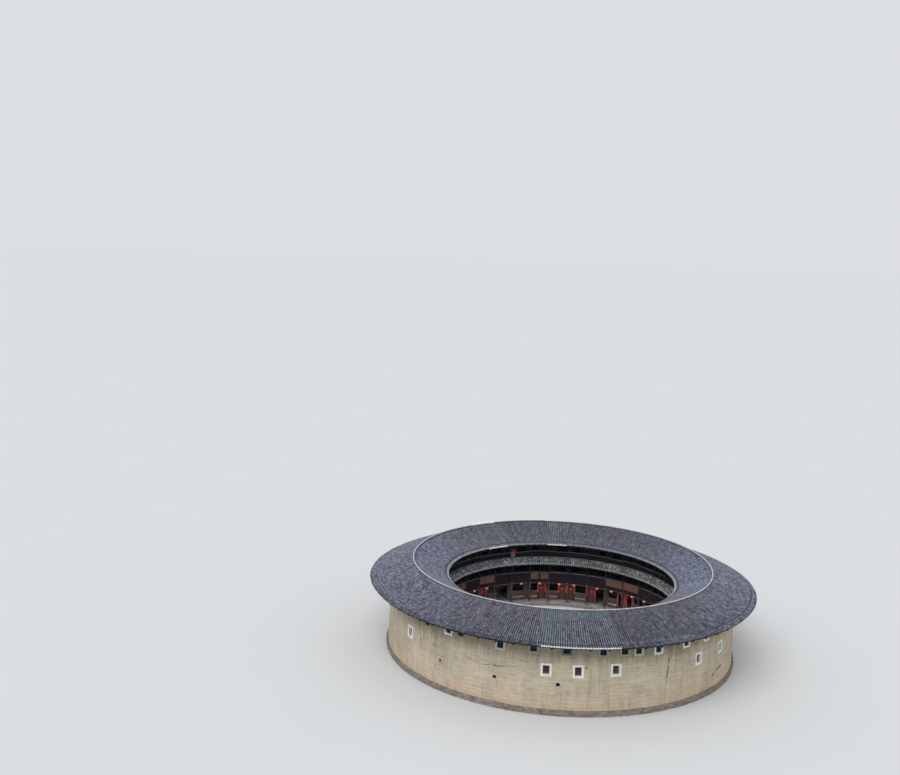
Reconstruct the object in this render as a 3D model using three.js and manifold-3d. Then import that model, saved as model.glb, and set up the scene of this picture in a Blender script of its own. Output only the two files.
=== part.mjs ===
// Tulou roundhouse: a round, three-storey dwelling of rammed earth and timber, open in the middle.
// It is a 1:2 scale model of a building 45 m across its eaves. Lengths are in millimetres, +Z is up,
// the origin is at the centre of the courtyard on the ground, and -Y is the side the camera sees.
import * as THREE from 'three';
import { mergeVertices } from 'three/addons/utils/BufferGeometryUtils.js';
import Module from 'manifold-3d';

const wasm = await Module();
wasm.setup();

// Scale: one metre of the real building is this many millimetres of the model.
const metre = 500;
const seat = 0.3;
const degree = Math.PI / 180;

// Plan: 36 bays between posts, and rings of masonry and tile with two facets to a bay.
const bayAngle = 10;
const fineFacet = 5;
const bayCosine = Math.cos((bayAngle / 2) * degree);

// Levels, in real metres above the ground.
const levels = {
  footing: 0.6,
  paving: 0.16,
  floor2: 3.25,
  floor3: 5.82,
  outerEave: 8.2,
  innerEave: 8.35,
  roofApex: 10.23,
  ridgeTop: 10.43,
};

// Radii, in real metres. Timber radii are those of the polygon's corners, which stand on the posts.
const radii = {
  outerEave: 22.5,
  ridge: 17.6,
  innerEave: 13.5,
  footingOuter: 20.5,
  wallOuterBase: 20.35,
  wallOuterTop: 20.1,
  wallInner: 19.2,
  frontWall: 15.8,
  post: 14.52,
  pavingEdge: 13.5,
  skirtEdge: 13.6,
  skirtTop: 14.39,
};

// Thicknesses, in real metres.
const floorThickness = 0.16;
const frontWallThickness = 0.16;
const postWidth = 0.2;
const parapetThickness = 0.12;
const roofDepth = { atRidge: 0.3, atEave: 0.18 };
const ridgeHalfWidth = 0.17;
const seatGap = seat / metre;

// Raised rows of cover tiles run up both slopes, one at the middle of each facet. They are higher on
// the upper layer of tiles, which starts a little way in from each eave.
const tileRow = { halfWidth: 0.08, shoulder: 0.047, shoulderShare: 0.77, bedded: 0.03, offRidge: 0.04 };
const lowerTiles = { from: 0.04, to: 0.45, height: 0.09 };
const upperTiles = { from: 0.4, height: 0.13 };

// Cutters run this far past the faces of what they cut, so that no skin is left.
const pastFace = 0.2;
const throughEarthWall = [radii.wallInner - pastFace, radii.footingOuter + pastFace];

// Bearings are read like a compass: 0 is +Y, the far side of the courtyard, and 90 is +X.
const gate = { bearing: 337, width: 1.9, height: 2.6, jamb: 0.3, lintel: 0.35, threshold: 0.2, proud: 0.07 };
const gateFrameInset = 0.01;
const gateLeaf = { thickness: 0.08, width: 0.93, clearance: 0.02, headroom: 0.02 };

// Windows of the earth wall: each bearing, with the level of its middle. No two were set quite alike.
const windowSize = { width: 0.72, height: 0.94 };
const seenWindows = [
  [134.3, 6.87], [144, 6.9], [154.8, 6.82], [161.5, 6.94], [166, 6.98], [172.5, 7], [183.2, 7.08], [192.9, 7.04],
  [203, 6.86], [216.4, 7.15], [221.1, 7.04], [230.4, 6.98],
  [124.8, 4.7], [138.1, 4.6], [168.5, 4.92], [179.7, 4.78], [189, 4.78], [239.5, 4.78],
];
const unseenUpperWindows = { level: 6.97, bearings: [...everyTen(255, 355), ...everyTen(5, 115)] };
const unseenMiddleWindows = { level: 4.78, bearings: [265, 285, 325, 345, 15, 35, 65, 85, 105] };

// The earth wall was rammed in separate lengths. Some go up in one, and the others have a level joint
// over the second floor, with shorter lengths above it. The upright joints stand at corners of the ring.
const levelJoint = 5.9;
const fullLengths = [[0, 40, 80], [120, 150], [210, 245], [280, 320, 360]];
const lowerLengths = [[80, 120], [150, 175, 185, 210], [245, 280]];
const upperLengths = [[80, 90, 120], [150, 160, 170, 180, 190, 210], [245, 270, 280]];

// Ground-floor doors and the two open halls, as they stand round the far side of the courtyard.
const door = { width: 0.78, head: 2.2, sill: 0.26, leafThickness: 0.05, leafSetback: 0.095 };
const hingedDoors = [
  { name: 'door_leaf_1', bearing: -34, hinge: -1 },
  { name: 'door_leaf_2', bearing: -2.9, hinge: 1 },
  { name: 'door_leaf_3', bearing: 7.2, hinge: 1 },
  { name: 'door_leaf_4', bearing: 11.4, hinge: -1 },
  { name: 'door_leaf_5', bearing: 21.2, hinge: -1 },
];
const openDoors = [36.7, 41.3];
const fixedDoorsFrom = 50;
const halls = { gateHall: { from: -26, to: -20 }, sideHall: { from: 23.7, to: 28 } };

// Windows of the ground-floor rooms that look on to the courtyard, each over a bench.
const groundWindow = { sill: 1.34, head: door.head, width: 1.2 };
const seenGroundWindows = [
  { bearing: -28.2, width: 0.9 },
  { bearing: -15, width: 1.6 },
  { bearing: -7.2, width: 1.1 },
  { bearing: 2.4, width: 1.3 },
  { bearing: 16.2, width: 1.5 },
  { bearing: 32.6, width: 1.2 },
];
const unseenGroundWindowsFrom = 45;
const bench = { depth: 0.34, top: 0.58, tail: 0.02 };

// Upper rooms: heights are above each floor, and doors and windows keep off the ends of a wall.
const upperDoor = { width: 0.76, low: 0.1, high: 2 };
const upperWindow = { width: 0.9, low: 1, high: 1.9 };
const doorRecess = 0.1;
const doorBesidePost = 2.1;
const windowOffMiddle = 1.6;
const clearOfWallEnd = 3;

function everyTen(first, last) {
  const bearings = [];
  for (let bearing = first; bearing <= last; bearing += bayAngle) bearings.push(bearing);
  return bearings;
}

// Solids: a closed three.js geometry becomes a manifold for cutting, and comes back as a mesh.
function toSolid(geometry) {
  const bare = geometry.clone();
  for (const name of Object.keys(bare.attributes)) {
    if (name !== 'position') bare.deleteAttribute(name);
  }
  const merged = mergeVertices(bare, 1e-3);
  return new wasm.Manifold(new wasm.Mesh({
    numProp: 3,
    vertProperties: new Float32Array(merged.attributes.position.array),
    triVerts: new Uint32Array(merged.index.array),
  }));
}

function toGeometry(solid) {
  const mesh = solid.getMesh();
  const geometry = new THREE.BufferGeometry();
  geometry.setAttribute('position', new THREE.BufferAttribute(new Float32Array(mesh.vertProperties), 3));
  geometry.setIndex(new THREE.BufferAttribute(new Uint32Array(mesh.triVerts), 1));
  return geometry;
}

function joined(solids) {
  return solids.reduce((whole, solid) => whole.add(solid));
}

function cut(solid, cutters) {
  return cutters.reduce((rest, cutter) => rest.subtract(cutter), solid);
}

// A section of [radius, height] points in real metres, turned about +Z between two bearings.
// Its two ends draw back by half the seating gap, unless it goes all the way round.
function turned(section, from = 0, to = 360, facet = fineFacet) {
  const points = section.map(([radius, height]) => new THREE.Vector2(radius * metre, height * metre));
  if (THREE.ShapeUtils.isClockWise(points)) points.reverse();
  const wholeRing = to - from === 360;
  const pull = wholeRing ? 0 : seat / 2 / points[0].x / degree;
  const start = (180 - to + pull) * degree;
  const sweep = (to - from - 2 * pull) * degree;
  const steps = Math.round((to - from) / facet);
  const skin = new THREE.LatheGeometry([...points, points[0]], steps, start, sweep);
  if (!wholeRing) closeEnds(skin, points, steps);
  skin.rotateX(Math.PI / 2);
  return toSolid(skin);
}

// The flat ends of a turned section, made on the corners that the turned skin already has.
function closeEnds(skin, points, steps) {
  const index = [...skin.index.array];
  const lastRow = steps * (points.length + 1);
  for (const [a, b, c] of THREE.ShapeUtils.triangulateShape(points, [])) {
    index.push(a, b, c);
    index.push(lastRow + c, lastRow + b, lastRow + a);
  }
  skin.setIndex(index);
}

// The radius of a polygon of straight bays at any bearing; its corners are at every tenth degree.
function bayRadius(cornerRadius, bearing) {
  const middle = bayMiddle(bearing);
  return (cornerRadius * bayCosine) / Math.cos((bearing - middle) * degree);
}

function bayMiddle(bearing) {
  return Math.floor(bearing / bayAngle) * bayAngle + bayAngle / 2;
}

function planPoint(radius, bearing) {
  const x = radius * metre * Math.sin(bearing * degree);
  const y = radius * metre * Math.cos(bearing * degree);
  return new THREE.Vector2(x, y);
}

function bayCorners(from, to) {
  const bearings = [from];
  const margin = 1e-6;
  const first = Math.ceil((from + margin) / bayAngle) * bayAngle;
  for (let bearing = first; bearing < to - margin; bearing += bayAngle) bearings.push(bearing);
  return [...bearings, to];
}

// A wall or floor of straight bays between two bearings and two corner radii, raised upwards.
function bayRing({ inner, outer, low, high, from, to }) {
  const pull = seat / 2 / (inner * metre) / degree;
  const start = from + pull;
  const end = to - pull;
  const inside = bayCorners(start, end).map((bearing) => planPoint(bayRadius(inner, bearing), bearing));
  const outside = bayCorners(start, end).map((bearing) => planPoint(bayRadius(outer, bearing), bearing));
  return raised(new THREE.Shape([...inside, ...outside.reverse()]), low, high);
}

function wholeBayRing({ inner, outer, low, high }) {
  return turned([[inner, low], [outer, low], [outer, high], [inner, high]], 0, 360, bayAngle);
}

function raised(shape, low, high) {
  const geometry = new THREE.ExtrudeGeometry(shape, { depth: (high - low) * metre, bevelEnabled: false });
  geometry.translate(0, 0, low * metre);
  return toSolid(geometry);
}

// A box in the axes of one bearing: x runs clockwise along the wall, y outwards, z upwards.
function boxAt(bearing, { x, y, z }) {
  const size = [x, y, z].map(([low, high]) => (high - low) * metre);
  const centre = [x, y, z].map(([low, high]) => ((low + high) / 2) * metre);
  const geometry = new THREE.BoxGeometry(...size);
  geometry.translate(...centre);
  geometry.rotateZ(-bearing * degree);
  return toSolid(geometry);
}

// Where a bearing falls along the straight wall of its bay, measured from the middle of the bay.
function alongBay(bearing, cornerRadius) {
  return cornerRadius * bayCosine * Math.tan((bearing - bayMiddle(bearing)) * degree);
}

const wallFace = radii.frontWall * bayCosine;

function bayBox(bearing, width, depth, z) {
  const middle = alongBay(bearing, radii.frontWall);
  const x = [middle - width / 2, middle + width / 2];
  return boxAt(bayMiddle(bearing), { x, y: [wallFace + depth[0], wallFace + depth[1]], z });
}

const finishes = {
  rubble: { color: 0x8b8378, roughness: 0.95 },
  earth: { color: 0xb59a78, roughness: 0.97 },
  paving: { color: 0x85827d, roughness: 0.9 },
  granite: { color: 0x9c968c, roughness: 0.85 },
  timber: { color: 0x4a3a30, roughness: 0.8 },
  boards: { color: 0x5a4436, roughness: 0.8 },
  leaf: { color: 0x6e4c38, roughness: 0.75 },
  tile: { color: 0x55555e, roughness: 0.85 },
  mossyTile: { color: 0x6a6f5e, roughness: 0.95 },
  mortar: { color: 0xb4afa8, roughness: 0.9 },
};

const roundhouse = new THREE.Group();
roundhouse.name = 'roundhouse';

function addPiece(name, finish, solid) {
  const { color, roughness } = finishes[finish];
  const material = new THREE.MeshStandardMaterial({ color, roughness, metalness: 0 });
  const mesh = new THREE.Mesh(toGeometry(solid), material);
  mesh.name = name;
  roundhouse.add(mesh);
}

// Roof: two tiled slopes that lean on each other at the ridge, and a mortar ridge over the joint.
const outerPitch = (levels.roofApex - levels.outerEave) / (radii.outerEave - radii.ridge);
const innerPitch = (levels.roofApex - levels.innerEave) / (radii.ridge - radii.innerEave);

function outerRoofTop(radius) {
  return levels.outerEave + (radii.outerEave - radius) * outerPitch;
}

function innerRoofTop(radius) {
  return levels.innerEave + (radius - radii.innerEave) * innerPitch;
}

function outerRoofUnderside(radius) {
  const share = (radii.outerEave - radius) / (radii.outerEave - radii.ridge);
  const depth = roofDepth.atEave + (roofDepth.atRidge - roofDepth.atEave) * share;
  return outerRoofTop(radius) - depth;
}

function innerRoofUnderside(radius) {
  const share = (radius - radii.innerEave) / (radii.ridge - radii.innerEave);
  const depth = roofDepth.atEave + (roofDepth.atRidge - roofDepth.atEave) * share;
  return innerRoofTop(radius) - depth;
}

// A row of cover tiles up a slope, at the middle of a facet. The slope's profile runs through the
// facet's corners, which are a little further out than its middle.
function raisedRow(bearing, { near, far, height }, slopeTop) {
  const { halfWidth, shoulder, shoulderShare, bedded } = tileRow;
  const outline = [
    [-halfWidth, -bedded], [halfWidth, -bedded], [shoulder, height * shoulderShare],
    [0, height], [-shoulder, height * shoulderShare],
  ];
  const section = new THREE.Shape(outline.map(([x, z]) => new THREE.Vector2(x * metre, z * metre)));
  const geometry = new THREE.ExtrudeGeometry(section, { depth: (far - near) * metre, bevelEnabled: false });
  geometry.rotateX(Math.PI / 2);
  geometry.translate(0, far * metre, 0);
  const place = geometry.attributes.position;
  const facetCosine = Math.cos((fineFacet / 2) * degree);
  for (let i = 0; i < place.count; i += 1) {
    const cornerRadius = place.getY(i) / metre / facetCosine;
    place.setZ(i, place.getZ(i) + slopeTop(cornerRadius) * metre);
  }
  geometry.rotateZ(-bearing * degree);
  return toSolid(geometry);
}

function roof() {
  const outerTop = radii.ridge + seatGap;
  const outerSection = [
    [outerTop, levels.roofApex],
    [radii.outerEave, levels.outerEave],
    [radii.outerEave, outerRoofUnderside(radii.outerEave)],
    [outerTop, levels.roofApex - roofDepth.atRidge],
  ];
  const innerSection = [
    [radii.ridge, levels.roofApex],
    [radii.innerEave, levels.innerEave],
    [radii.innerEave, innerRoofUnderside(radii.innerEave)],
    [radii.ridge, levels.roofApex - roofDepth.atRidge],
  ];
  const offRidge = ridgeHalfWidth + tileRow.offRidge;
  const { outerEave, innerEave, ridge } = radii;
  const outerRows = [
    { near: outerEave - lowerTiles.to, far: outerEave - lowerTiles.from, height: lowerTiles.height },
    { near: ridge + offRidge, far: outerEave - upperTiles.from, height: upperTiles.height },
  ];
  const innerRow = { near: innerEave + upperTiles.from, far: ridge - offRidge, height: upperTiles.height };
  for (const [side, from] of [['east', 0], ['west', 180]]) {
    const outer = [turned(outerSection, from, from + 180)];
    const inner = [turned(innerSection, from, from + 180)];
    for (let middle = from + fineFacet / 2; middle < from + 180; middle += fineFacet) {
      outer.push(...outerRows.map((row) => raisedRow(middle, row, outerRoofTop)));
      inner.push(raisedRow(middle, innerRow, innerRoofTop));
    }
    addPiece(`outer_roof_${side}`, 'tile', joined(outer));
    addPiece(`inner_roof_${side}`, 'tile', joined(inner));
  }
  const lift = 2 * seatGap;
  addPiece('ridge', 'mortar', turned([
    [radii.ridge - ridgeHalfWidth, levels.roofApex - ridgeHalfWidth * innerPitch + lift],
    [radii.ridge, levels.roofApex + lift],
    [radii.ridge + ridgeHalfWidth, levels.roofApex - ridgeHalfWidth * outerPitch + lift],
    [radii.ridge + ridgeHalfWidth, levels.ridgeTop],
    [radii.ridge - ridgeHalfWidth, levels.ridgeTop],
  ]));
}

// Earth wall: it leans in a little as it rises, stands on a stone footing and carries the roof.
function gateCutter() {
  const half = gate.width / 2 + gate.jamb + seatGap;
  const top = gate.height + gate.lintel + seatGap;
  return boxAt(gate.bearing, { x: [-half, half], y: throughEarthWall, z: [-pastFace, top] });
}

function windowCutter(bearing, level) {
  const half = windowSize.width / 2;
  const z = [level - windowSize.height / 2, level + windowSize.height / 2];
  return boxAt(bearing, { x: [-half, half], y: throughEarthWall, z });
}

function wallOuterRadius(level) {
  const rise = outerRoofUnderside(radii.wallOuterTop) - levels.footing;
  const share = (level - levels.footing) / rise;
  return radii.wallOuterBase + (radii.wallOuterTop - radii.wallOuterBase) * share;
}

function masonry() {
  const footing = turned([
    [radii.wallInner, 0],
    [radii.footingOuter, 0],
    [radii.footingOuter, levels.footing],
    [radii.wallInner, levels.footing],
  ]);
  addPiece('stone_footing', 'rubble', cut(footing, [gateCutter()]));

  const base = levels.footing + seatGap;
  const foot = [[radii.wallInner, base], [wallOuterRadius(base), base]];
  const head = [
    [radii.wallOuterTop, outerRoofUnderside(radii.wallOuterTop) - seatGap],
    [radii.wallInner, outerRoofUnderside(radii.wallInner) - seatGap],
  ];
  const belowJoint = [[wallOuterRadius(levelJoint), levelJoint], [radii.wallInner, levelJoint]];
  const aboveJoint = belowJoint.map(([radius, level]) => [radius, level + seatGap]).reverse();

  const windows = [...seenWindows];
  for (const { level, bearings } of [unseenUpperWindows, unseenMiddleWindows]) {
    windows.push(...bearings.map((bearing) => [bearing, level]));
  }
  const wallLength = (name, section, from, to) => {
    const low = section[0][1];
    const high = section[2][1];
    const cutters = windows
      .filter(([bearing, level]) => bearing > from && bearing < to && level > low && level < high)
      .map(([bearing, level]) => windowCutter(bearing, level));
    if (gate.bearing > from && gate.bearing < to) cutters.push(gateCutter());
    addPiece(name, 'earth', cut(turned(section, from, to), cutters));
  };
  const lengths = [
    ...fullLengths.flatMap(pairs).map(([from, to]) => ({ section: [...foot, ...head], from, to })),
    ...lowerLengths.flatMap(pairs).map(([from, to]) => ({ section: [...foot, ...belowJoint], from, to })),
  ].sort((a, b) => a.from - b.from);
  lengths.forEach(({ section, from, to }, i) => wallLength(`earth_wall_${i + 1}`, section, from, to));
  upperLengths.flatMap(pairs).forEach(([from, to], i) => {
    wallLength(`upper_wall_${i + 1}`, [...aboveJoint, ...head], from, to);
  });
}

function pairs(joints) {
  return joints.slice(1).map((to, i) => [joints[i], to]);
}

// Gate: a granite frame through the wall, and two plank leaves that stand open behind its jambs.
function gateway() {
  const { bearing, width, height, jamb, lintel, threshold, proud } = gate;
  const half = width / 2;
  const y = [radii.wallInner + gateFrameInset, radii.footingOuter + proud];
  const block = boxAt(bearing, { x: [-half - jamb, half + jamb], y, z: [0, height + lintel] });
  const way = boxAt(bearing, { x: [-half, half], y: throughEarthWall, z: [threshold, height] });
  addPiece('gate_frame', 'granite', cut(block, [way]));

  const leafY = [y[0] - seatGap - gateLeaf.width, y[0] - seatGap];
  const leafZ = [levels.paving + seatGap, height - gateLeaf.headroom];
  for (const [side, sign] of [['left', 1], ['right', -1]]) {
    const near = sign * (half + gateLeaf.clearance);
    const far = sign * (half + gateLeaf.clearance + gateLeaf.thickness);
    const x = [Math.min(near, far), Math.max(near, far)];
    addPiece(`gate_leaf_${side}`, 'leaf', boxAt(bearing, { x, y: leafY, z: leafZ }));
  }
}

// Floors: stone paving in the ground-floor rooms and under the galleries, boards above.
function floors() {
  const outer = radii.wallInner - 2 * seatGap;
  const paving = { inner: radii.pavingEdge, outer, low: 0, high: levels.paving };
  addPiece('ground_floor', 'paving', wholeBayRing(paving));
  const halfPost = postWidth / 2;
  const inner = radii.post + halfPost + halfPost * Math.tan((bayAngle / 2) * degree) + seatGap;
  for (const storey of [2, 3]) {
    const high = levels[`floor${storey}`];
    addPiece(`floor_${storey}`, 'boards', wholeBayRing({ inner, outer, low: high - floorThickness, high }));
  }
}

// Front walls of the rooms, behind the galleries. Each bay has a door beside a post and a window.
const throughFrontWall = [-pastFace, frontWallThickness + pastFace];
const intoFrontWall = [-pastFace, doorRecess];

function doorBearings(from, to) {
  const bearings = [];
  for (let post = 0; post <= 360; post += 2 * bayAngle) {
    for (const bearing of [post - doorBesidePost, post + doorBesidePost]) {
      if (bearing > from && bearing < to) bearings.push(bearing);
    }
  }
  return bearings;
}

function groundWindowCutter({ bearing, width }) {
  return bayBox(bearing, width, throughFrontWall, [groundWindow.sill, groundWindow.head]);
}

function benchUnder({ bearing, width }) {
  return bayBox(bearing, width, [-bench.depth, bench.tail], [levels.paving + seatGap, bench.top]);
}

function groundWall(name, { from, to, high, doors = [], openings = [], windows = [] }) {
  const low = levels.paving + seatGap;
  const outer = radii.frontWall + frontWallThickness / bayCosine;
  let wall = bayRing({ inner: radii.frontWall, outer, low, high, from, to });
  const z = [door.sill, door.head];
  wall = cut(wall, doors.map((bearing) => bayBox(bearing, door.width, intoFrontWall, z)));
  wall = cut(wall, openings.map((bearing) => bayBox(bearing, door.width, throughFrontWall, z)));
  wall = cut(wall, windows.map(groundWindowCutter));
  wall = joined([wall, ...windows.map(benchUnder)]);
  addPiece(name, 'boards', wall);
}

// The bearings of a ground-floor door's two jambs.
function jambs({ bearing }) {
  const middle = alongBay(bearing, radii.frontWall);
  const jamb = (sign) => Math.atan((middle + (sign * door.width) / 2) / wallFace) / degree;
  return [bayMiddle(bearing) + jamb(-1), bayMiddle(bearing) + jamb(1)];
}

function groundFrontWalls() {
  const [door1, door2, door3, door4, door5] = hingedDoors.map(jambs);
  const { gateHall, sideHall } = halls;
  const windows = [
    ...seenGroundWindows,
    ...everyTen(unseenGroundWindowsFrom, 325).map((middle) => (
      { bearing: middle + windowShift(middle), width: groundWindow.width })),
  ];
  const windowsBetween = (from, to) => windows.filter(({ bearing }) => (
    bearing > from + clearOfWallEnd / 2 && bearing < to - clearOfWallEnd / 2));

  // Between the doors that open, the wall stops at the heads of the doors, and one wall runs over it.
  const lowWalls = [
    [door1[1], gateHall.from],
    [gateHall.to, door2[0]],
    [door2[1], door3[0]],
    [door3[1], door4[0]],
    [door4[1], door5[0]],
    [door5[1], sideHall.from],
  ];
  lowWalls.forEach(([from, to], i) => {
    groundWall(`front_wall_${i + 1}`, { from, to, high: door.head, windows: windowsBetween(from, to) });
  });
  const top = levels.floor2 - floorThickness - seatGap;
  const outer = radii.frontWall + frontWallThickness / bayCosine;
  addPiece('wall_over_doors', 'boards', bayRing({
    inner: radii.frontWall, outer, low: door.head + seatGap, high: top, from: door1[0], to: sideHall.to,
  }));

  const joints = [sideHall.to, 80, 140, 200, 260, 360 + door1[0]];
  for (let i = 1; i < joints.length; i += 1) {
    const from = joints[i - 1];
    const to = joints[i];
    const doorsFrom = Math.max(from, fixedDoorsFrom) + clearOfWallEnd / 2;
    const doors = doorBearings(doorsFrom, to - clearOfWallEnd / 2);
    const openings = openDoors.filter((bearing) => bearing > from && bearing < to);
    const wall = { from, to, high: top, doors, openings, windows: windowsBetween(from, to) };
    groundWall(`front_wall_${lowWalls.length + i}`, wall);
  }
}

// The window of a bay stands away from its door, which is beside every other post.
function windowShift(middle) {
  const doorAfterPost = Math.round((middle - bayAngle / 2) / bayAngle) % 2 === 0;
  return doorAfterPost ? windowOffMiddle : -windowOffMiddle;
}

function upperFrontWalls() {
  const outer = radii.frontWall + frontWallThickness / bayCosine;
  const underRoof = innerRoofUnderside(radii.frontWall * bayCosine) - seatGap;
  const tops = { 2: levels.floor3 - floorThickness - seatGap, 3: underRoof };
  for (const storey of [2, 3]) {
    const floor = levels[`floor${storey}`];
    const low = floor + seatGap;
    for (const [side, from] of [['east', 0], ['west', 180]]) {
      const to = from + 180;
      const doorZ = [floor + upperDoor.low, floor + upperDoor.high];
      const windowZ = [floor + upperWindow.low, floor + upperWindow.high];
      const doors = doorBearings(from, to)
        .map((bearing) => bayBox(bearing, upperDoor.width, intoFrontWall, doorZ));
      const windows = everyTen(from + bayAngle / 2, to - bayAngle / 2)
        .map((middle) => bayBox(middle + windowShift(middle), upperWindow.width, throughFrontWall, windowZ));
      const wall = bayRing({ inner: radii.frontWall, outer, low, high: tops[storey], from, to });
      addPiece(`rooms_${storey}_${side}`, 'boards', cut(wall, [...doors, ...windows]));
    }
  }
}

// Door leaves: each turns on two wooden pivots, between the sill and the wall over the door.
const pivot = { radius: 0.018, fromEdge: 0.028, sides: 12 };
const leafClearance = 0.02;
const pivotToJamb = 0.048;

function doorLeaves() {
  for (const { name, bearing, hinge } of hingedDoors) {
    const middle = alongBay(bearing, radii.frontWall);
    const axisX = middle + hinge * (door.width / 2 - pivotToJamb);
    const axisY = wallFace + door.leafSetback + door.leafThickness / 2;
    const hingeEdge = axisX + hinge * pivot.fromEdge;
    const freeEdge = middle - hinge * (door.width / 2 - leafClearance);
    const x = [Math.min(hingeEdge, freeEdge), Math.max(hingeEdge, freeEdge)];
    const y = [axisY - door.leafThickness / 2, axisY + door.leafThickness / 2];
    const low = levels.paving + seatGap;
    const high = door.head;
    const leaf = boxAt(bayMiddle(bearing), { x, y, z: [low + leafClearance, high - leafClearance] });
    const pin = new THREE.CylinderGeometry(
      pivot.radius * metre, pivot.radius * metre, (high - low) * metre, pivot.sides,
    );
    pin.rotateX(Math.PI / 2);
    pin.translate(axisX * metre, axisY * metre, ((high + low) / 2) * metre);
    pin.rotateZ(-bayMiddle(bearing) * degree);
    addPiece(name, 'leaf', joined([leaf, toSolid(pin)]));
  }
}

// Gallery frames: posts through all three storeys, with parapets, rails and an eave beam between.
const frameSpan = 60;
const deckBeamDepth = 0.3;
const frameBars = [
  { thickness: parapetThickness, low: levels.floor2 - deckBeamDepth, high: 4.24 },
  { thickness: parapetThickness, low: levels.floor3 - deckBeamDepth, high: 6.35 },
  { thickness: 0.07, low: 6.8, high: 6.88 },
];
const eaveBeam = { thickness: 0.14, depth: 0.22 };

const skirt = { edgeLevel: 5.63, topLevel: 6.25, depth: 0.14 };
const bracket = { tip: 13.72, width: 0.12, depth: 0.2 };

function skirtUnderside(radius) {
  const pitch = (skirt.topLevel - skirt.edgeLevel) / (radii.skirtTop - radii.skirtEdge);
  return skirt.edgeLevel - skirt.depth + (radius - radii.skirtEdge) * pitch;
}

function bar(post, { thickness, low, high }, stopShort) {
  const chord = 2 * radii.post * Math.sin((bayAngle / 2) * degree);
  const geometry = new THREE.BoxGeometry((chord - stopShort) * metre, thickness * metre, (high - low) * metre);
  geometry.translate(((chord - stopShort) / 2) * metre, 0, ((high + low) / 2) * metre);
  geometry.rotateZ(-(post + bayAngle / 2) * degree);
  const start = planPoint(radii.post, post);
  geometry.translate(start.x, start.y, 0);
  return toSolid(geometry);
}

function galleryFrames() {
  const half = postWidth / 2;
  const beamFace = radii.post * bayCosine - eaveBeam.thickness / 2;
  const top = innerRoofUnderside(beamFace) - seatGap;
  const bars = [...frameBars, { thickness: eaveBeam.thickness, low: top - eaveBeam.depth, high: top }];
  const bracketTop = skirtUnderside(bracket.tip) - seatGap;
  const lastStop = half / bayCosine + half * Math.tan((bayAngle / 2) * degree) + seatGap;
  for (let first = 0; first < 360; first += frameSpan) {
    const solids = [];
    for (let post = first; post < first + frameSpan; post += bayAngle) {
      const z = [levels.paving + seatGap, top];
      solids.push(boxAt(post, { x: [-half, half], y: [radii.post - half, radii.post + half], z }));
      solids.push(boxAt(post, {
        x: [-bracket.width / 2, bracket.width / 2],
        y: [bracket.tip, radii.post],
        z: [bracketTop - bracket.depth, bracketTop],
      }));
      const stopShort = post + bayAngle === first + frameSpan ? lastStop : 0;
      solids.push(...bars.map((size) => bar(post, size, stopShort)));
    }
    addPiece(`gallery_frame_${first / frameSpan + 1}`, 'timber', joined(solids));
  }
}

// Skirt roof: a narrow ring of mossy tile on the brackets, in front of the top gallery's parapet.
function skirtRoof() {
  addPiece('skirt_roof', 'mossyTile', turned([
    [radii.skirtEdge, skirt.edgeLevel],
    [radii.skirtTop, skirt.topLevel],
    [radii.skirtTop, skirt.topLevel - skirt.depth],
    [radii.skirtEdge, skirt.edgeLevel - skirt.depth],
  ]));
}

masonry();
gateway();
floors();
groundFrontWalls();
doorLeaves();
upperFrontWalls();
galleryFrames();
skirtRoof();
roof();

export default roundhouse;
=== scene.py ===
import math
import random

import bmesh
import bpy
from mathutils import Matrix, Vector, noise


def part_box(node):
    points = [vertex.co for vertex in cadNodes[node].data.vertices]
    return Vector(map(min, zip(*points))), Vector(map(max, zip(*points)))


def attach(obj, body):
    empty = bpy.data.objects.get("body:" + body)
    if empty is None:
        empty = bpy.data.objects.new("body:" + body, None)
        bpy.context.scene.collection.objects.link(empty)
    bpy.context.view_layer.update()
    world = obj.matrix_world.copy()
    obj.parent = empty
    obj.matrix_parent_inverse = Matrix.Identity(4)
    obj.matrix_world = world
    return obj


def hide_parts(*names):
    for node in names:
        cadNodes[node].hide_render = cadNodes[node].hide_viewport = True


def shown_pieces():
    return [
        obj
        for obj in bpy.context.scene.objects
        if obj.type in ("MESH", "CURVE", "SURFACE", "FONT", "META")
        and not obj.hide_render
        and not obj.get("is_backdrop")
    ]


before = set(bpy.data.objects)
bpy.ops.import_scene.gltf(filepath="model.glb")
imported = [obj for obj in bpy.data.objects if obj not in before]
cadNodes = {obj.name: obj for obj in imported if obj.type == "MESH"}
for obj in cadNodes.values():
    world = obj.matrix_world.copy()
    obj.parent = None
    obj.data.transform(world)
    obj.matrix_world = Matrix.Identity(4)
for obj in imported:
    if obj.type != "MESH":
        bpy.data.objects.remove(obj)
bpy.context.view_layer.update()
print("frame loaded,", len(cadNodes), "nodes")

# The building at half its real size. Every size below is in metres of the real one, and metre scales it.
metre = 0.5
bay = 10  # degrees between two posts
bayMiddles = range(-175, 185, bay)
home = "building"
draw = random.Random(7)

# Bearings are read from the far side of the court, clockwise, as a compass reads. The near side is 180.
radii = {
    "outerEave": 22.5, "ridge": 17.6, "innerEave": 13.5, "footing": 20.5, "wallBase": 20.35, "wallTop": 20.1,
    "wallInner": 19.2, "frontWall": 15.8, "post": 14.52, "pavingEdge": 13.5, "skirtEdge": 13.6,
    "skirtTop": 14.39,
}
levels = {
    "paving": 0.16, "footing": 0.6, "floor2": 3.25, "floor3": 5.82, "outerEave": 8.2, "innerEave": 8.35,
    "apex": 10.23, "ridgeTop": 10.43, "skirtEdge": 5.63, "skirtTop": 6.25,
}
bayCosine = math.cos(math.radians(bay / 2))
wallFace = radii["frontWall"] * bayCosine
postFace = radii["post"] * bayCosine
postChord = 2 * radii["post"] * math.sin(math.radians(bay / 2))


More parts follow.
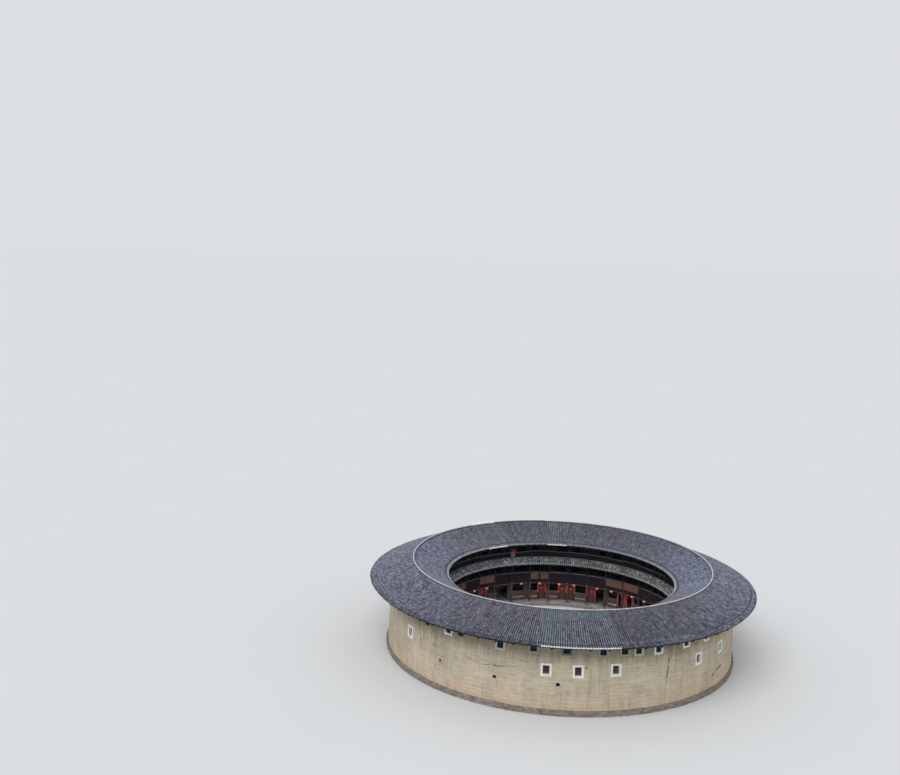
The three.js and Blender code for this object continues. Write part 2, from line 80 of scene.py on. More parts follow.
def spot(radius, bearing, level):
    angle = math.radians(bearing)
    return Vector((radius * math.sin(angle), radius * math.cos(angle), level)) * metre


def bayMiddle(bearing):
    return math.floor(bearing / bay) * bay + bay / 2


# How far a bearing falls from the middle of its bay, along the straight face of the rooms.
def alongBay(bearing):
    return wallFace * math.tan(math.radians(bearing - bayMiddle(bearing)))


# Meshes are gathered in a shell: its points, its faces, and one tone for all the points of each solid.
def emptyShell():
    return {"points": [], "faces": [], "tones": []}


def addSolid(shell, points, faces):
    first = len(shell["points"])
    shell["points"] += points
    shell["faces"] += [[first + i for i in face] for face in faces]
    shell["tones"] += [draw.random()] * len(points)
    return shell


# Faces of a solid made of rings of points. Its ends are closed, or it runs back into itself.
def loftFaces(size, rings, endless=False):
    faces = []
    for ring in range(rings if endless else rings - 1):
        here, there = ring * size, (ring + 1) % rings * size
        faces += [(here + i, here + (i + 1) % size, there + (i + 1) % size, there + i) for i in range(size)]
    return faces if endless else faces + [tuple(range(size)), tuple(range((rings - 1) * size, rings * size))]


# A box in the axes of one bearing: x runs clockwise along the wall, y outwards, z upwards.
def slab(shell, bearing, x, y, z, place=None):
    turn = Matrix.Rotation(-math.radians(bearing), 3, "Z")
    corners = [Vector((a, b, c)) for c in z for b in y for a in x]
    if place:
        corners = [place @ corner for corner in corners]
    boxFaces = [(0, 2, 3, 1), (4, 5, 7, 6), (0, 1, 5, 4), (2, 6, 7, 3), (0, 4, 6, 2), (1, 3, 7, 5)]
    return addSolid(shell, [turn @ corner * metre for corner in corners], boxFaces)


# A closed section of (radius, level) points, turned round the whole ring.
def revolve(shell, section, steps):
    area = sum(a[0] * b[1] - b[0] * a[1] for a, b in zip(section, section[1:] + section[:1]))
    section = section if area > 0 else section[::-1]
    points = [spot(radius, 360 * i / steps, level) for i in range(steps) for radius, level in section]
    return addSolid(shell, points, loftFaces(len(section), steps, endless=True))


# A round solid on a centre, with a circle at each (radius, height) of its profile.
def addRound(shell, centre, profile, sides):
    points = [
        centre + Vector((reach * math.cos(angle), reach * math.sin(angle), height)) * metre
        for reach, height in profile for angle in (2 * math.pi * i / sides for i in range(sides))
    ]
    return addSolid(shell, points, loftFaces(sides, len(profile)))


def meshOf(name, shell):
    mesh = bpy.data.meshes.new(name)
    mesh.from_pydata(shell["points"], [], shell["faces"])
    mesh.attributes.new("tone", "FLOAT", "POINT").data.foreach_set("value", shell["tones"])
    work = bmesh.new()
    work.from_mesh(mesh)
    bmesh.ops.recalc_face_normals(work, faces=work.faces)
    work.to_mesh(mesh)
    work.free()
    return mesh


def addObject(name, mesh):
    made = bpy.data.objects.new(name, mesh)
    bpy.context.scene.collection.objects.link(made)
    return made


def settle(piece, slotName, body=home):
    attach(piece, body)
    return piece


def makePiece(name, shell, look, slotName, body=home):
    piece = addObject(name, meshOf(name, shell))
    piece.data.materials.append(finishes[look])
    return settle(piece, slotName, body)


# A node tree in the making, for shaders and geometry. What is plugged in is a value or a socket.
class Tree:
    def __init__(self, tree):
        self.tree, self.nodes = tree, tree.nodes

    def __getitem__(self, label):
        return self.given[label]

    def put(self, label, value):
        self.plug(self.taken[label], value)

    def plug(self, socket, value):
        if isinstance(value, bpy.types.NodeSocket):
            self.tree.links.new(value, socket)
        else:
            socket.default_value = value

    def node(self, kind, sockets=None, **settings):
        made = self.nodes.new(kind)
        for name, value in settings.items():
            setattr(made, name, value)
        for name, value in (sockets or {}).items():
            named = (socket for socket in made.inputs if socket.name == name and socket.enabled)
            self.plug(made.inputs[name] if isinstance(name, int) else next(named), value)
        return made

    def give(self, kind, sockets=None, output=None, **settings):
        outputs = self.node(kind, sockets, **settings).outputs
        return next(socket for socket in outputs if socket.enabled and output in (None, socket.name))

    def maths(self, operation, *values, clamp=False):
        return self.give("ShaderNodeMath", dict(enumerate(values)), operation=operation, use_clamp=clamp)

    def vectors(self, operation, *values):
        return self.give("ShaderNodeVectorMath", dict(enumerate(values)), operation=operation)

    def scaled(self, value, factor):
        return self.maths("MULTIPLY", value, factor)

    def xyz(self, x, y, z):
        return self.give("ShaderNodeCombineXYZ", {"X": x, "Y": y, "Z": z})

    def axes(self, where):
        return self.node("ShaderNodeSeparateXYZ", {"Vector": where}).outputs

    def angle(self, axes):
        return self.maths("ARCTAN2", axes["X"], axes["Y"])

    def radius(self, axes):
        return self.vectors("LENGTH", self.xyz(axes["X"], axes["Y"], 0))

    def ramp(self, value, low, high, top=1.0, kind="SMOOTHSTEP"):
        sockets = {"Value": value, "From Min": low, "From Max": high, "To Max": top}
        return self.give("ShaderNodeMapRange", sockets, interpolation_type=kind)

    def cloud(self, where, scale, detail, roughness=0.5):
        sockets = {"Vector": where, "Scale": scale, "Detail": detail, "Roughness": roughness}
        return self.give("ShaderNodeTexNoise", sockets, "Fac")

    def white(self, x, y, z):
        where = self.xyz(x, y, z)
        return self.give("ShaderNodeTexWhiteNoise", {"Vector": where}, "Value", noise_dimensions="3D")

    def around(self, reach, seed):
        sockets = {"Min": self.vectors("MULTIPLY", reach, (-1, -1, -1)), "Max": reach, "Seed": seed}
        return self.give("FunctionNodeRandomValue", sockets, data_type="FLOAT_VECTOR")

    def mixed(self, factor, first, second, blend="MIX"):
        sockets = {0: factor, 6: first, 7: second}
        return self.node("ShaderNodeMix", sockets, data_type="RGBA", blend_type=blend).outputs[2]

    def tone(self):
        return self.node("ShaderNodeAttribute", attribute_name="tone").outputs["Fac"]

    def effect(self, name, output="Mask", **sockets):
        made = self.node("ShaderNodeGroup", node_tree=effects[name])
        for label, value in ({"where": self.where} | sockets).items():
            self.plug(made.inputs[label.capitalize()], value)
        return made.outputs[output]

    # Lays a colour over what is painted so far. The mask is a socket or the name of an effect.
    def paint(self, colour, amount, mask, **sockets):
        if isinstance(mask, str):
            mask = self.effect(mask, **sockets)
        self.colour = self.mixed(self.scaled(mask, amount), self.colour, colour)
        return mask


def newTree(name, kind, inputs, outputs):
    tree = bpy.data.node_groups.new(name, kind)
    for side, sockets in (("INPUT", inputs), ("OUTPUT", outputs)):
        for label, (socketKind, value) in sockets.items():
            socket = tree.interface.new_socket(label, in_out=side, socket_type="NodeSocket" + socketKind)
            if value is not None:
                socket.default_value = value
    made = Tree(tree)
    made.given = made.nodes.new("NodeGroupInput").outputs
    made.taken = made.nodes.new("NodeGroupOutput").inputs
    return made


# Shader node groups. Each puts out masks or values that change over the surface.
effects = {}


def newEffect(name, outputs=("Mask",), **inputs):
    sockets = {"Where": ("Vector", None)}
    for label, value in inputs.items():
        sockets[label.capitalize()] = ("Vector" if isinstance(value, tuple) else "Float", value)
    made = newTree(name, "ShaderNodeTree", sockets, {label: ("Float", None) for label in outputs})
    effects[name] = made.tree
    return made


tree = newEffect("mottle", scale=1, detail=4, low=0.4, high=0.6)
clouds = tree.cloud(tree["Where"], tree["Scale"], tree["Detail"])
tree.put("Mask", tree.ramp(clouds, tree["Low"], tree["High"]))

tree = newEffect("streak", scale=1, squash=0.1, low=0.4, high=0.6)
squashed = tree.vectors("MULTIPLY", tree["Where"], tree.xyz(1, 1, tree["Squash"]))
tree.put("Mask", tree.ramp(tree.cloud(squashed, tree["Scale"], 3), tree["Low"], tree["High"]))

# Upright boards round the ring: a tone for each board, and a mask of the seams between them.
tree = newEffect("ringBoards", ("Tone", "Seams"), boards=720, seam=0.06, band=1)
axes = tree.axes(tree["Where"])
place = tree.maths("MULTIPLY", tree.maths("DIVIDE", tree.angle(axes), 2 * math.pi), tree["Boards"])
storey = tree.maths("FLOOR", tree.maths("DIVIDE", axes["Z"], tree["Band"]))
tree.put("Tone", tree.white(tree.maths("FLOOR", place), storey, 3.7))
before, after = tree.maths("FRACT", place), tree.maths("SUBTRACT", 1, tree.maths("FRACT", place))
tree.put("Seams", tree.maths("LESS_THAN", tree.maths("MINIMUM", before, after), tree["Seam"]))

# Small spots that keep to patches, as lichen and chips do.
tree = newEffect("speckle", scale=10, size=0.3, patch=0.5)
spots = tree.give("ShaderNodeTexVoronoi", {"Vector": tree["Where"], "Scale": tree["Scale"]}, "Distance")
clumps = tree.cloud(tree["Where"], tree.scaled(tree["Scale"], 0.08), 3)
patch = tree.maths("GREATER_THAN", clumps, tree["Patch"])
tree.put("Mask", tree.maths("LESS_THAN", spots, tree.maths("MULTIPLY", tree["Size"], patch)))

# A soft patch round one place, as wide each way as its spread.
tree = newEffect("patch", centre=(0, 0, 0), spread=(1, 1, 1))
away = tree.vectors("DIVIDE", tree.vectors("SUBTRACT", tree["Where"], tree["Centre"]), tree["Spread"])
tree.put("Mask", tree.ramp(tree.vectors("LENGTH", away), 1, 0.4))

# A tone for each row of tiles, and one for each stretch of a row. The first row stands at bearing 0.
tree = newEffect("rows", ("Tone", "Part"), rows=576, stretch=0.5)
axes = tree.axes(tree["Where"])
turn = tree.maths("DIVIDE", tree.angle(axes), 2 * math.pi)
index = tree.maths("FLOOR", tree.maths("MULTIPLY_ADD", turn, tree["Rows"], 0.5))
whole = tree.give("ShaderNodeTexWhiteNoise", {"W": index}, "Value", noise_dimensions="1D")
along = tree.maths("ADD", tree.maths("DIVIDE", tree.radius(axes), tree["Stretch"]), tree.scaled(whole, 7))
tree.put("Tone", whole)
tree.put("Part", tree.white(index, tree.maths("FLOOR", along), 1.3))

# A sector of the ring: so many degrees to each side of its middle, and between two radii.
tree = newEffect("sector", middle=0, half=5, near=8, far=11)
axes = tree.axes(tree["Where"])
turned = tree.maths("SUBTRACT", tree.maths("DEGREES", tree.angle(axes)), tree["Middle"])
aside = tree.maths("ABSOLUTE", tree.maths("WRAP", turned, 180, -180))
across = tree.maths("MULTIPLY", tree.maths("SUBTRACT", tree["Half"], aside), 2, clamp=True)
radius = tree.radius(axes)
past, short = tree.maths("SUBTRACT", radius, tree["Near"]), tree.maths("SUBTRACT", tree["Far"], radius)
inside = tree.maths("MULTIPLY", tree.maths("MINIMUM", past, short), 30, clamp=True)
tree.put("Mask", tree.maths("MULTIPLY", across, inside))

# A crack in the wall: what lies near a line between two places.
# Each place is given as a way along the wall and a height.
wallReach = 20.2 * metre
tree = newEffect("crack", start=(0, 0, 0), end=(0, 0, 0), width=0.02)
axes = tree.axes(tree["Where"])
jitter = tree.cloud(tree["Where"], 5, 4)
sway = tree.scaled(tree.maths("SUBTRACT", jitter, 0.5), 0.16)
steps = tree.maths("MULTIPLY_ADD", tree.angle(axes), wallReach, sway)
line = tree.vectors("SUBTRACT", tree["End"], tree["Start"])
away = tree.vectors("SUBTRACT", tree.xyz(steps, tree.maths("ADD", axes["Z"], sway), 0), tree["Start"])
reached, length = (tree.vectors("DOT_PRODUCT", other, line) for other in (away, line))
share = tree.maths("DIVIDE", reached, length, clamp=True)
distance = tree.vectors("DISTANCE", away, tree.vectors("MULTIPLY", line, tree.xyz(share, share, share)))
thick = tree.maths("MULTIPLY", tree["Width"], tree.scaled(jitter, 2))
tree.put("Mask", tree.ramp(distance, thick, tree.scaled(thick, 0.4), kind="LINEAR"))


# Colours are written as a screen shows them, 0 to 255.
def shade(*levels):
    shares = [level / 255 for level in levels]
    return (*(s / 12.92 if s <= 0.04045 else ((s + 0.055) / 1.055) ** 2.4 for s in shares), 1)


def shades(**colours):
    return {name: shade(*colour) for name, colour in colours.items()}


# A material from what paints it. The painter leaves a colour, and gives the height and depth of its bumps.
def finish(name, painter, roughness, specular=0.3, sheen=0.0):
    material = bpy.data.materials.new(name)
    material.use_nodes = True
    tree = Tree(material.node_tree)
    tree.where = tree.node("ShaderNodeTexCoord").outputs["Object"]
    height, depth = painter(tree)
    bump = tree.node("ShaderNodeBump", {"Height": height, "Distance": depth, "Strength": 0.8})
    for label, value in {"Roughness": roughness, "Specular IOR Level": specular, "Sheen Weight": sheen,
                         "Base Color": tree.colour, "Normal": bump.outputs["Normal"]}.items():
        tree.plug(tree.nodes["Principled BSDF"].inputs[label], value)
    return material


# Clay tiles: each has its own grey, each row some of its own too, and lichen lies on them in patches.
tileColours = shades(
    dark=(18, 19, 30), light=(136, 139, 161), rust=(108, 86, 92), blue=(78, 94, 120), teal=(92, 120, 124),
    lichen=(186, 192, 200), moss=(92, 96, 76), gap=(20, 21, 27), bleached=(140, 160, 206),
    edge=(150, 157, 172),
)
tileKinds = (("rust", 0.65, "GREATER_THAN", 0.8), ("blue", 0.65, "LESS_THAN", 0.22),
             ("teal", 0.7, "LESS_THAN", 0.08))
tileClumps = ((8, "dark", 0.5, 0), (6.7, "light", 0.42, 0), (4.2, "edge", 0.2, 0.26),
              (4.9, "dark", 0.26, 0.34))
raisedCourses = (10.62, 10.8, 10.98)

# Tiles laid anew or worn apart: middle bearing, degrees to each side, two radii, colour and amount.
relaid = [
    (187.3, 3.1, 8.9, 11.5, "teal", 0.6), (179.5, 11, 8.88, 9.35, "teal", 0.6),
    (1.7, 2.4, 8.2, 8.7, "lichen", 0.6), (1.5, 3.5, 7, 8.78, "teal", 0.6),
    (158, 12.1, 8.88, 11, "dark", 0.2), (150, 20.1, 8.88, 11, "dark", 0.2),
    (142, 28.1, 8.88, 11, "dark", 0.15), (0, 400, 6.7, 6.83, "edge", 0.6),
    *((247, 22, radius, radius + 0.07, "edge", 0.5) for radius in raisedCourses),
]

# Painted shadow lines where a layer or a raised course starts: middle bearing, degrees to each side, two radii,
# amount.
stepShadows = [
    (108, 40, 10.98, 11.07, 0.9), (0, 400, 6.83, 6.93, 0.9),
    *((247, 22, radius - 0.06, radius, 0.5) for radius in raisedCourses),
]


def tiles(rows, light=1.0, mossy=0.1, sectors=(), bleached=0.0):
    def painter(tree):
        colours, tone = tileColours, tree.tone()
        row, part = (tree.effect("rows", output, rows=rows) for output in ("Tone", "Part"))
        fine = tree.maths("MULTIPLY_ADD", part, 0.4, tree.scaled(tone, 0.36))
        share = tree.maths("MULTIPLY_ADD", row, 0.24, fine)
        share = tree.maths("MULTIPLY_ADD", share, 1.36, -0.18, clamp=True)
        tree.colour = tree.mixed(share, colours["dark"], colours["light"])
        kind = tree.maths("FRACT", tree.scaled(tree.maths("ADD", tone, tree.scaled(row, 0.03)), 17.3))
        for name, amount, operation, limit in tileKinds:
            tree.paint(colours[name], amount, tree.maths(operation, kind, limit))
        tree.paint(colours["rust"], 0.22, "mottle", scale=0.55, detail=5, low=0.38, high=0.66)
        # On the east and west flanks the tiles are painted paler and bluer: a painted reflection of the sky.
        flank = tree.ramp(tree.maths("ABSOLUTE", tree.axes(tree.where)["X"]), 5.2, 8.4)
        tree.paint(colours["bleached"], bleached, flank)
        for scale, name, amount, more in tileClumps:
            strength = tree.maths("MULTIPLY_ADD", flank, more, amount)
            tree.paint(colours[name], strength, "mottle", scale=scale, detail=6, low=0.52, high=0.6)
        tree.paint(colours["lichen"], 0.3, "speckle", scale=26, size=0.32, patch=0.55)
        pale = tree.maths("GREATER_THAN", tree.maths("FRACT", tree.scaled(tone, 41.7)), 0.983)
        tree.paint(colours["lichen"], 0.35, pale)
        for middle, half, near, far, name, amount in sectors:
            area = tree.effect("sector", middle=middle, half=half, near=near, far=far)
            broken = tree.effect("mottle", scale=5, detail=5, low=0.3, high=0.6)
            tree.paint(colours[name], broken, tree.scaled(area, amount))
        # Painted shadow along each step of the layers.
        for middle, half, near, far, amount in stepShadows:
            tree.paint(colours["gap"], amount, "sector", middle=middle, half=half, near=near, far=far)
        tree.paint(colours["moss"], mossy, "mottle", scale=3.5, detail=6, low=0.42, high=0.66)
        tree.colour = tree.mixed(1, tree.colour, (light, light, light, 1), "MULTIPLY")
        return tree.cloud(tree.where, 90, 3), 0.004
    return painter


# The low roof over the second gallery lies in the damp: moss on most tiles and pale blots of lichen.
mossColours = shades(tile=(150, 154, 166), moss=(124, 130, 112), olive=(98, 102, 102), lichen=(206, 210, 208),
                     green=(120, 126, 98), shadow=(30, 32, 34))


def dampTiles(tree):
    colours, tone = mossColours, tree.tone()
    tree.colour = tree.mixed(tone, colours["olive"], colours["tile"])
    moss = tree.paint(colours["moss"], 0.6, "mottle", scale=2.6, detail=6, low=0.4, high=0.62)
    greener = tree.ramp(tree.axes(tree.where)["X"], 0.5, 4.5, 0.5, "LINEAR")
    tree.colour = tree.mixed(greener, tree.colour, colours["green"])
    tree.paint(colours["shadow"], 0.8, "mottle", scale=17, detail=5, low=0.5, high=0.62)
    pale = tree.maths("GREATER_THAN", tree.maths("FRACT", tree.scaled(tone, 23.1)), 0.9)
    tree.paint(colours["lichen"], 0.6, pale)
    tree.paint(colours["lichen"], 0.75, "speckle", scale=12, size=0.38, patch=0.5)
    return moss, 0.01


# Rammed earth: boxes of earth laid in lifts, streaked and cracked, washed grey in places, pinker at the foot,
# and painted shade under the eave.
earthColours = shades(
    warm=(192, 178, 155), pale=(212, 202, 183), dull=(156, 147, 131), foot=(198, 164, 138),
    pink=(206, 154, 122), stain=(104, 98, 86), crack=(66, 60, 54), washed=(176, 178, 182),
    sheltered=(98, 92, 72),
)
lift = {"height": 0.42, "boxes": 78}

# Each crack: bearing and level of its two ends, and its width.
cracks = [
    ((150.9, 5.76), (151.6, 3.0), 0.045), ((234.2, 6.6), (232.9, 3.5), 0.03),
    ((208.5, 4.29), (198.1, 4.69), 0.03), ((130.3, 1.88), (123.9, 2.5), 0.062),
    ((213.5, 4.62), (208.5, 4.2), 0.02), ((226.1, 6.1), (226.4, 4.4), 0.022),
    ((40, 5.2), (41, 2.2), 0.04), ((300, 6.4), (298.5, 3.6), 0.035),
]

# Each patch: bearing, level, half its width and half its height in the model.
pinkPatches = [(211, 0.9, 0.6, 0.3), (217.5, 1.7, 0.7, 0.35), (204, 0.8, 0.9, 0.25), (20, 1.0, 0.8, 0.35)]
greyPatches = [(218, 3.6, 0.28, 0.6), (209, 3.5, 0.24, 0.55), (195.5, 6.2, 0.25, 0.4), (60, 4.5, 0.4, 0.8)]


def alongWall(bearing, level):
    return math.radians((bearing + 180) % 360 - 180) * wallReach, level * metre, 0


def earth(tree):
    colours, axes = earthColours, tree.axes(tree.where)
    along = tree.scaled(tree.angle(axes), lift["boxes"] / (2 * math.pi))
    sag = tree.scaled(tree.maths("SUBTRACT", tree.cloud(tree.where, 1.3, 2), 0.5), 0.05)
    boxes = tree.node("ShaderNodeTexBrick", {
        "Vector": tree.xyz(along, tree.maths("ADD", axes["Z"], sag), 0), "Color1": (0, 0, 0, 1),
        "Color2": (1, 1, 1, 1), "Scale": 1, "Mortar Size": 0.008, "Mortar Smooth": 0.6, "Brick Width": 1,
        "Row Height": lift["height"] * metre,
    }).outputs
    each = tree.node("ShaderNodeSeparateColor", {"Color": boxes["Color"]}).outputs[0]
    tree.colour = tree.mixed(tree.scaled(each, 0.3), colours["warm"], colours["pale"])
    tree.paint(colours["dull"], 0.55, "mottle", scale=0.5, detail=6, low=0.35, high=0.68)
    tree.paint(colours["pale"], 0.3, "mottle", scale=14, detail=6, low=0.35, high=0.7)
    tree.paint(colours["stain"], 0.3, "streak", scale=1.2, squash=14, low=0.46, high=0.72)
    patchy = tree.effect("mottle", scale=0.8, detail=5, low=0.3, high=0.6)
    tree.paint(colours["foot"], 0.45, tree.maths("MULTIPLY", tree.ramp(axes["Z"], 1.5, 0.3), patchy))
    broken = tree.effect("mottle", scale=3, detail=6, low=0.36, high=0.6)
    for patches, name, amount in ((pinkPatches, "pink", 0.28), (greyPatches, "washed", 0.7)):
        for bearing, level, wide, high in patches:
            area = tree.effect("patch", centre=spot(20.2, bearing, level), spread=(wide, wide, high))
            tree.paint(colours[name], amount, tree.maths("MULTIPLY", area, broken))
    for scale, squash, amount in ((5.5, 0.1, 0.24), (1.6, 0.14, 0.13)):
        tree.paint(colours["stain"], amount, "streak", scale=scale, squash=squash, low=0.53, high=0.74)
    tree.paint(colours["stain"], 0.18, "mottle", scale=2.2, detail=7, low=0.54, high=0.68)
    tree.paint(colours["pale"], 0.3, "streak", scale=2.4, squash=0.16, low=0.52, high=0.7)
    worn = tree.effect("mottle", scale=1.6, detail=4, low=0.45, high=0.66)
    joints = tree.paint(colours["crack"], 0.24, tree.maths("MULTIPLY", boxes["Fac"], worn))
    tree.paint(colours["stain"], 0.5, "speckle", scale=16, size=0.16, patch=0.48)
    held = tree.effect("mottle", scale=3.2, detail=3, low=0.36, high=0.5)
    for start, end, width in cracks:
        split = tree.effect("crack", start=alongWall(*start), end=alongWall(*end), width=width)
        tree.paint(colours["crack"], 0.85, tree.maths("MULTIPLY", split, held))
    # Painted shade under the eave: the wall darkens towards its top, with a ragged lower edge.
    eaveShadeEdge = tree.effect("streak", scale=7, squash=0.06, low=0.3, high=0.7)
    dusty = tree.ramp(tree.maths("MULTIPLY_ADD", eaveShadeEdge, 0.4, axes["Z"]), 2.7, 3.7)
    tree.paint(colours["sheltered"], 0.58, dusty)
    return tree.maths("SUBTRACT", tree.cloud(tree.where, 9, 8, 0.7), tree.scaled(joints, 0.6)), 0.012


# Weathered timber, with its grain along Z, and boards where a wall is boarded.
timberColours = shades(
    dark=(27, 27, 35), soot=(18, 17, 26), mid=(58, 46, 50), worn=(116, 106, 102), brown=(100, 70, 60),
    plain=(92, 80, 76), fresh=(120, 92, 80), pale=(150, 142, 144), wine=(42, 27, 34), slate=(46, 58, 79),
    dusk=(64, 78, 104), dusty=(114, 98, 101), seam=(16, 13, 14),
)


def timber(first="dark", second="mid", boards=0, grey=0.25):
    def painter(tree):
        colours = timberColours
        grain = height = tree.effect("streak", scale=26, squash=0.05, low=0.35, high=0.7)
        tree.colour = tree.mixed(grain, colours[first], colours[second])
        if boards:
            seams = tree.paint(colours["seam"], 0.8, tree.effect("ringBoards", "Seams", boards=boards))
            height = tree.maths("SUBTRACT", grain, tree.scaled(seams, 2))
        tone = tree.effect("ringBoards", "Tone", boards=boards, band=1.35) if boards else tree.tone()
        tree.paint(colours[first], 0.55, tone)
        tree.paint(colours["worn"], grey, "mottle", scale=2.2, detail=6, low=0.45, high=0.7)
        return height, 0.004
    return painter


# Posts keep their timber colour up to the second floor, and above it are painted dark: painted shade in the
# upper galleries.
def postTimber(tree):
    bumps = timber("mid", "plain")(tree)
    tree.paint(timberColours["dark"], 0.9, tree.ramp(tree.axes(tree.where)["Z"], 1.4, 1.6, kind="LINEAR"))
    return bumps


stoneStains = shades(warm=(142, 120, 104), moss=(98, 100, 80))


def stone(dark, light, mossy):
    def painter(tree):
        tree.colour = tree.mixed(tree.tone(), shade(*dark), shade(*light))
        clouds = tree.paint(stoneStains["warm"], 0.45, "mottle", scale=4, detail=6, low=0.35, high=0.65)
        tree.paint(shade(*light), 0.25, "mottle", scale=40, detail=5, low=0.3, high=0.7)
        tree.paint(stoneStains["moss"], mossy, "mottle", scale=1.5, detail=6, low=0.5, high=0.7)
        return clouds, 0.006
    return painter


def washed(base, dirt, amount):
    def painter(tree):
        tree.colour = shade(*base)
        tree.paint(shade(*dirt), amount, "streak", scale=9, squash=0.3, low=0.42, high=0.7)
        return tree.paint(shade(*dirt), 0.35, "mottle", scale=22, detail=6, low=0.55, high=0.62), -0.003
    return painter


# Each look: its name, what paints it, its roughness, and where they matter its specular and its sheen.
looks = {
    "tile": ("clay_tile", tiles(576, 0.96, 0.1, relaid, 0.09), 0.62, 0.4, 0.25),
    "innerTile": ("clay_inner_tile", tiles(432, 0.97, 0.1, relaid, 0.24), 0.62, 0.4, 0.25),
    # The pans take the tiles' colours at a third of their brightness: painted shade in the valleys between the
    # rows of cover tiles.
    "pan": ("clay_pan", tiles(576, 0.34), 0.8),
    "eaveTile": ("clay_eave_tile", tiles(576, 0.8, 0.15), 0.75),
    "paleEave": ("pale_eave_tile", washed((162, 167, 178), (104, 108, 118), 0.8), 0.85),
    "mossyTile": ("mossy_tile", dampTiles, 0.95),
    # The skirt's pans are painted darker than its cover tiles: painted shade between the rows.
    "mossyPan": ("mossy_pan", washed((70, 74, 78), (46, 49, 50), 0.8), 0.95),
    "mortar": ("ridge_mortar", washed((204, 204, 210), (128, 128, 134), 0.55), 0.95),
    "ridgeBed": ("ridge_bed", stone((76, 75, 84), (106, 105, 114), 0.2), 0.9),
    "whiteTile": ("limed_tile", washed((246, 246, 243), (190, 188, 182), 0.3), 0.9),
    "earth": ("rammed_earth", earth, 0.97, 0.1),
    # Near black: painted shade for the backs of the putlog holes.
    "hollow": ("hole_shade", washed((20, 18, 18), (12, 11, 12), 0.5), 1),
    "lime": ("lime_wash", washed((234, 235, 230), (176, 170, 156), 0.4), 0.9),
    "tanLime": ("tan_wash", washed((172, 162, 134), (136, 126, 102), 0.5), 0.9),
    # The grey, dusky and dull washes are lime painted darker: painted shade of the eave over the upper windows.
    "greyLime": ("grey_wash", washed((112, 122, 118), (84, 88, 82), 0.5), 0.9),
    "duskLime": ("dusky_wash", washed((150, 158, 150), (108, 112, 104), 0.5), 0.9),
    "dullLime": ("dull_wash", washed((186, 196, 190), (138, 146, 138), 0.5), 0.9),
    "rubble": ("rubble_stone", stone((96, 90, 84), (150, 143, 136), 0.2), 0.95),
    "granite": ("granite", stone((118, 112, 108), (160, 154, 148), 0.1), 0.85),
    "kerb": ("kerb_stone", stone((92, 88, 84), (126, 120, 114), 0.3), 0.9),
    "bench": ("bench_stone", stone((168, 164, 164), (206, 202, 200), 0.1), 0.85),
    "paving": ("paving_stone", stone((138, 132, 134), (174, 168, 168), 0.12), 0.85),
    "timber": ("old_timber", timber(grey=0.1), 0.8),
    "posts": ("post_timber", postTimber, 0.8),
    "casement": ("window_timber", timber("plain", "worn", grey=0.3), 0.8),
    # Walls of the upper rooms: weathered grey boards, painted blue as well for the blue shade deep in the
    # galleries.
    "boards": ("wall_boards", timber("slate", "dusk", 720, 0.1), 0.8),
    "roomBoards": ("room_boards", timber("dusty", "brown", 720, 0.5), 0.8),
    "brownBoards": ("brown_boards", timber("brown", "fresh", grey=0.2), 0.8),
    "floorBoards": ("floor_boards", timber("dark", "worn", 540, 0.3), 0.85),
    "leaf": ("door_planks", timber("brown", "fresh", grey=0.2), 0.75),
    "oldLeaf": ("old_door_planks", timber("mid", "brown", grey=0.2), 0.8),
    "underRoof": ("roof_boards", timber("dark", "mid", 540, 0.2), 0.85),
    "darkBoards": ("parapet_planks", timber("soot", "wine", grey=0.05), 0.85),
    "wornTimber": ("worn_rail", timber("plain", "pale", grey=0.4), 0.85),
    "iron": ("old_iron", washed((46, 42, 40), (70, 48, 38), 0.5), 0.6),
    "redPaper": ("red_paper", washed((248, 100, 104), (200, 66, 76), 0.6), 0.8),
    "fadedRed": ("faded_red", washed((156, 40, 72), (112, 28, 52), 0.6), 0.85),
    "lantern": ("lantern_cloth", washed((252, 168, 146), (232, 112, 92), 0.5), 0.6),
    "glass": ("window_glass", washed((22, 40, 48), (12, 20, 26), 0.6), 0.4, 0.2),
}
finishes = {look: finish(*values) for look, values in looks.items()}
print("materials made,", len(finishes))


# Sets the tree's piece at each point, swung and sized a little at random, with a tone of its own.
def setPieces(tree, points, lean, yaw):
    swing = tree.around(tree["Turn"], tree.maths("ADD", tree["Seed"], 5))
    angles = tree.vectors("ADD", tree.xyz(lean, 0, yaw), swing)
    low, high = (tree.maths(operation, 1, tree["Grow"]) for operation in ("SUBTRACT", "ADD"))
    sizes = {"Min": tree.xyz(low, low, low), "Max": tree.xyz(high, high, high), "Seed": tree["Seed"]}
    copied = tree.give("GeometryNodeObjectInfo", {"Object": tree["Piece"], "As Instance": True}, "Geometry")
    laid = tree.give("GeometryNodeInstanceOnPoints", {
        "Points": points, "Instance": copied,
        "Rotation": tree.give("FunctionNodeEulerToRotation", {"Euler": angles}),
        "Scale": tree.give("FunctionNodeRandomValue", sizes, data_type="FLOAT_VECTOR"),
    })
    toneSeed = tree.maths("ADD", tree["Seed"], 11)
    tone = tree.give("FunctionNodeRandomValue", {"Seed": toneSeed}, data_type="FLOAT")
    named = tree.give("GeometryNodeStoreNamedAttribute", {"Geometry": laid, "Name": "tone", "Value": tone},
                      data_type="FLOAT", domain="INSTANCE")
    real = tree.give("GeometryNodeRealizeInstances", {"Geometry": named})
    painted = tree.give("GeometryNodeSetMaterial", {"Geometry": real, "Material": tree["Material"]})
    tree.put("Geometry", painted)


commonInputs = {
    "Piece": ("Object", None), "Material": ("Material", None), "Lean": ("Float", 0), "Yaw": ("Float", 0),
    "Turn": ("Vector", (0, 0, 0)), "Grow": ("Float", 0), "Seed": ("Int", 1),
}
geometry = {"Geometry": ("Geometry", None)}

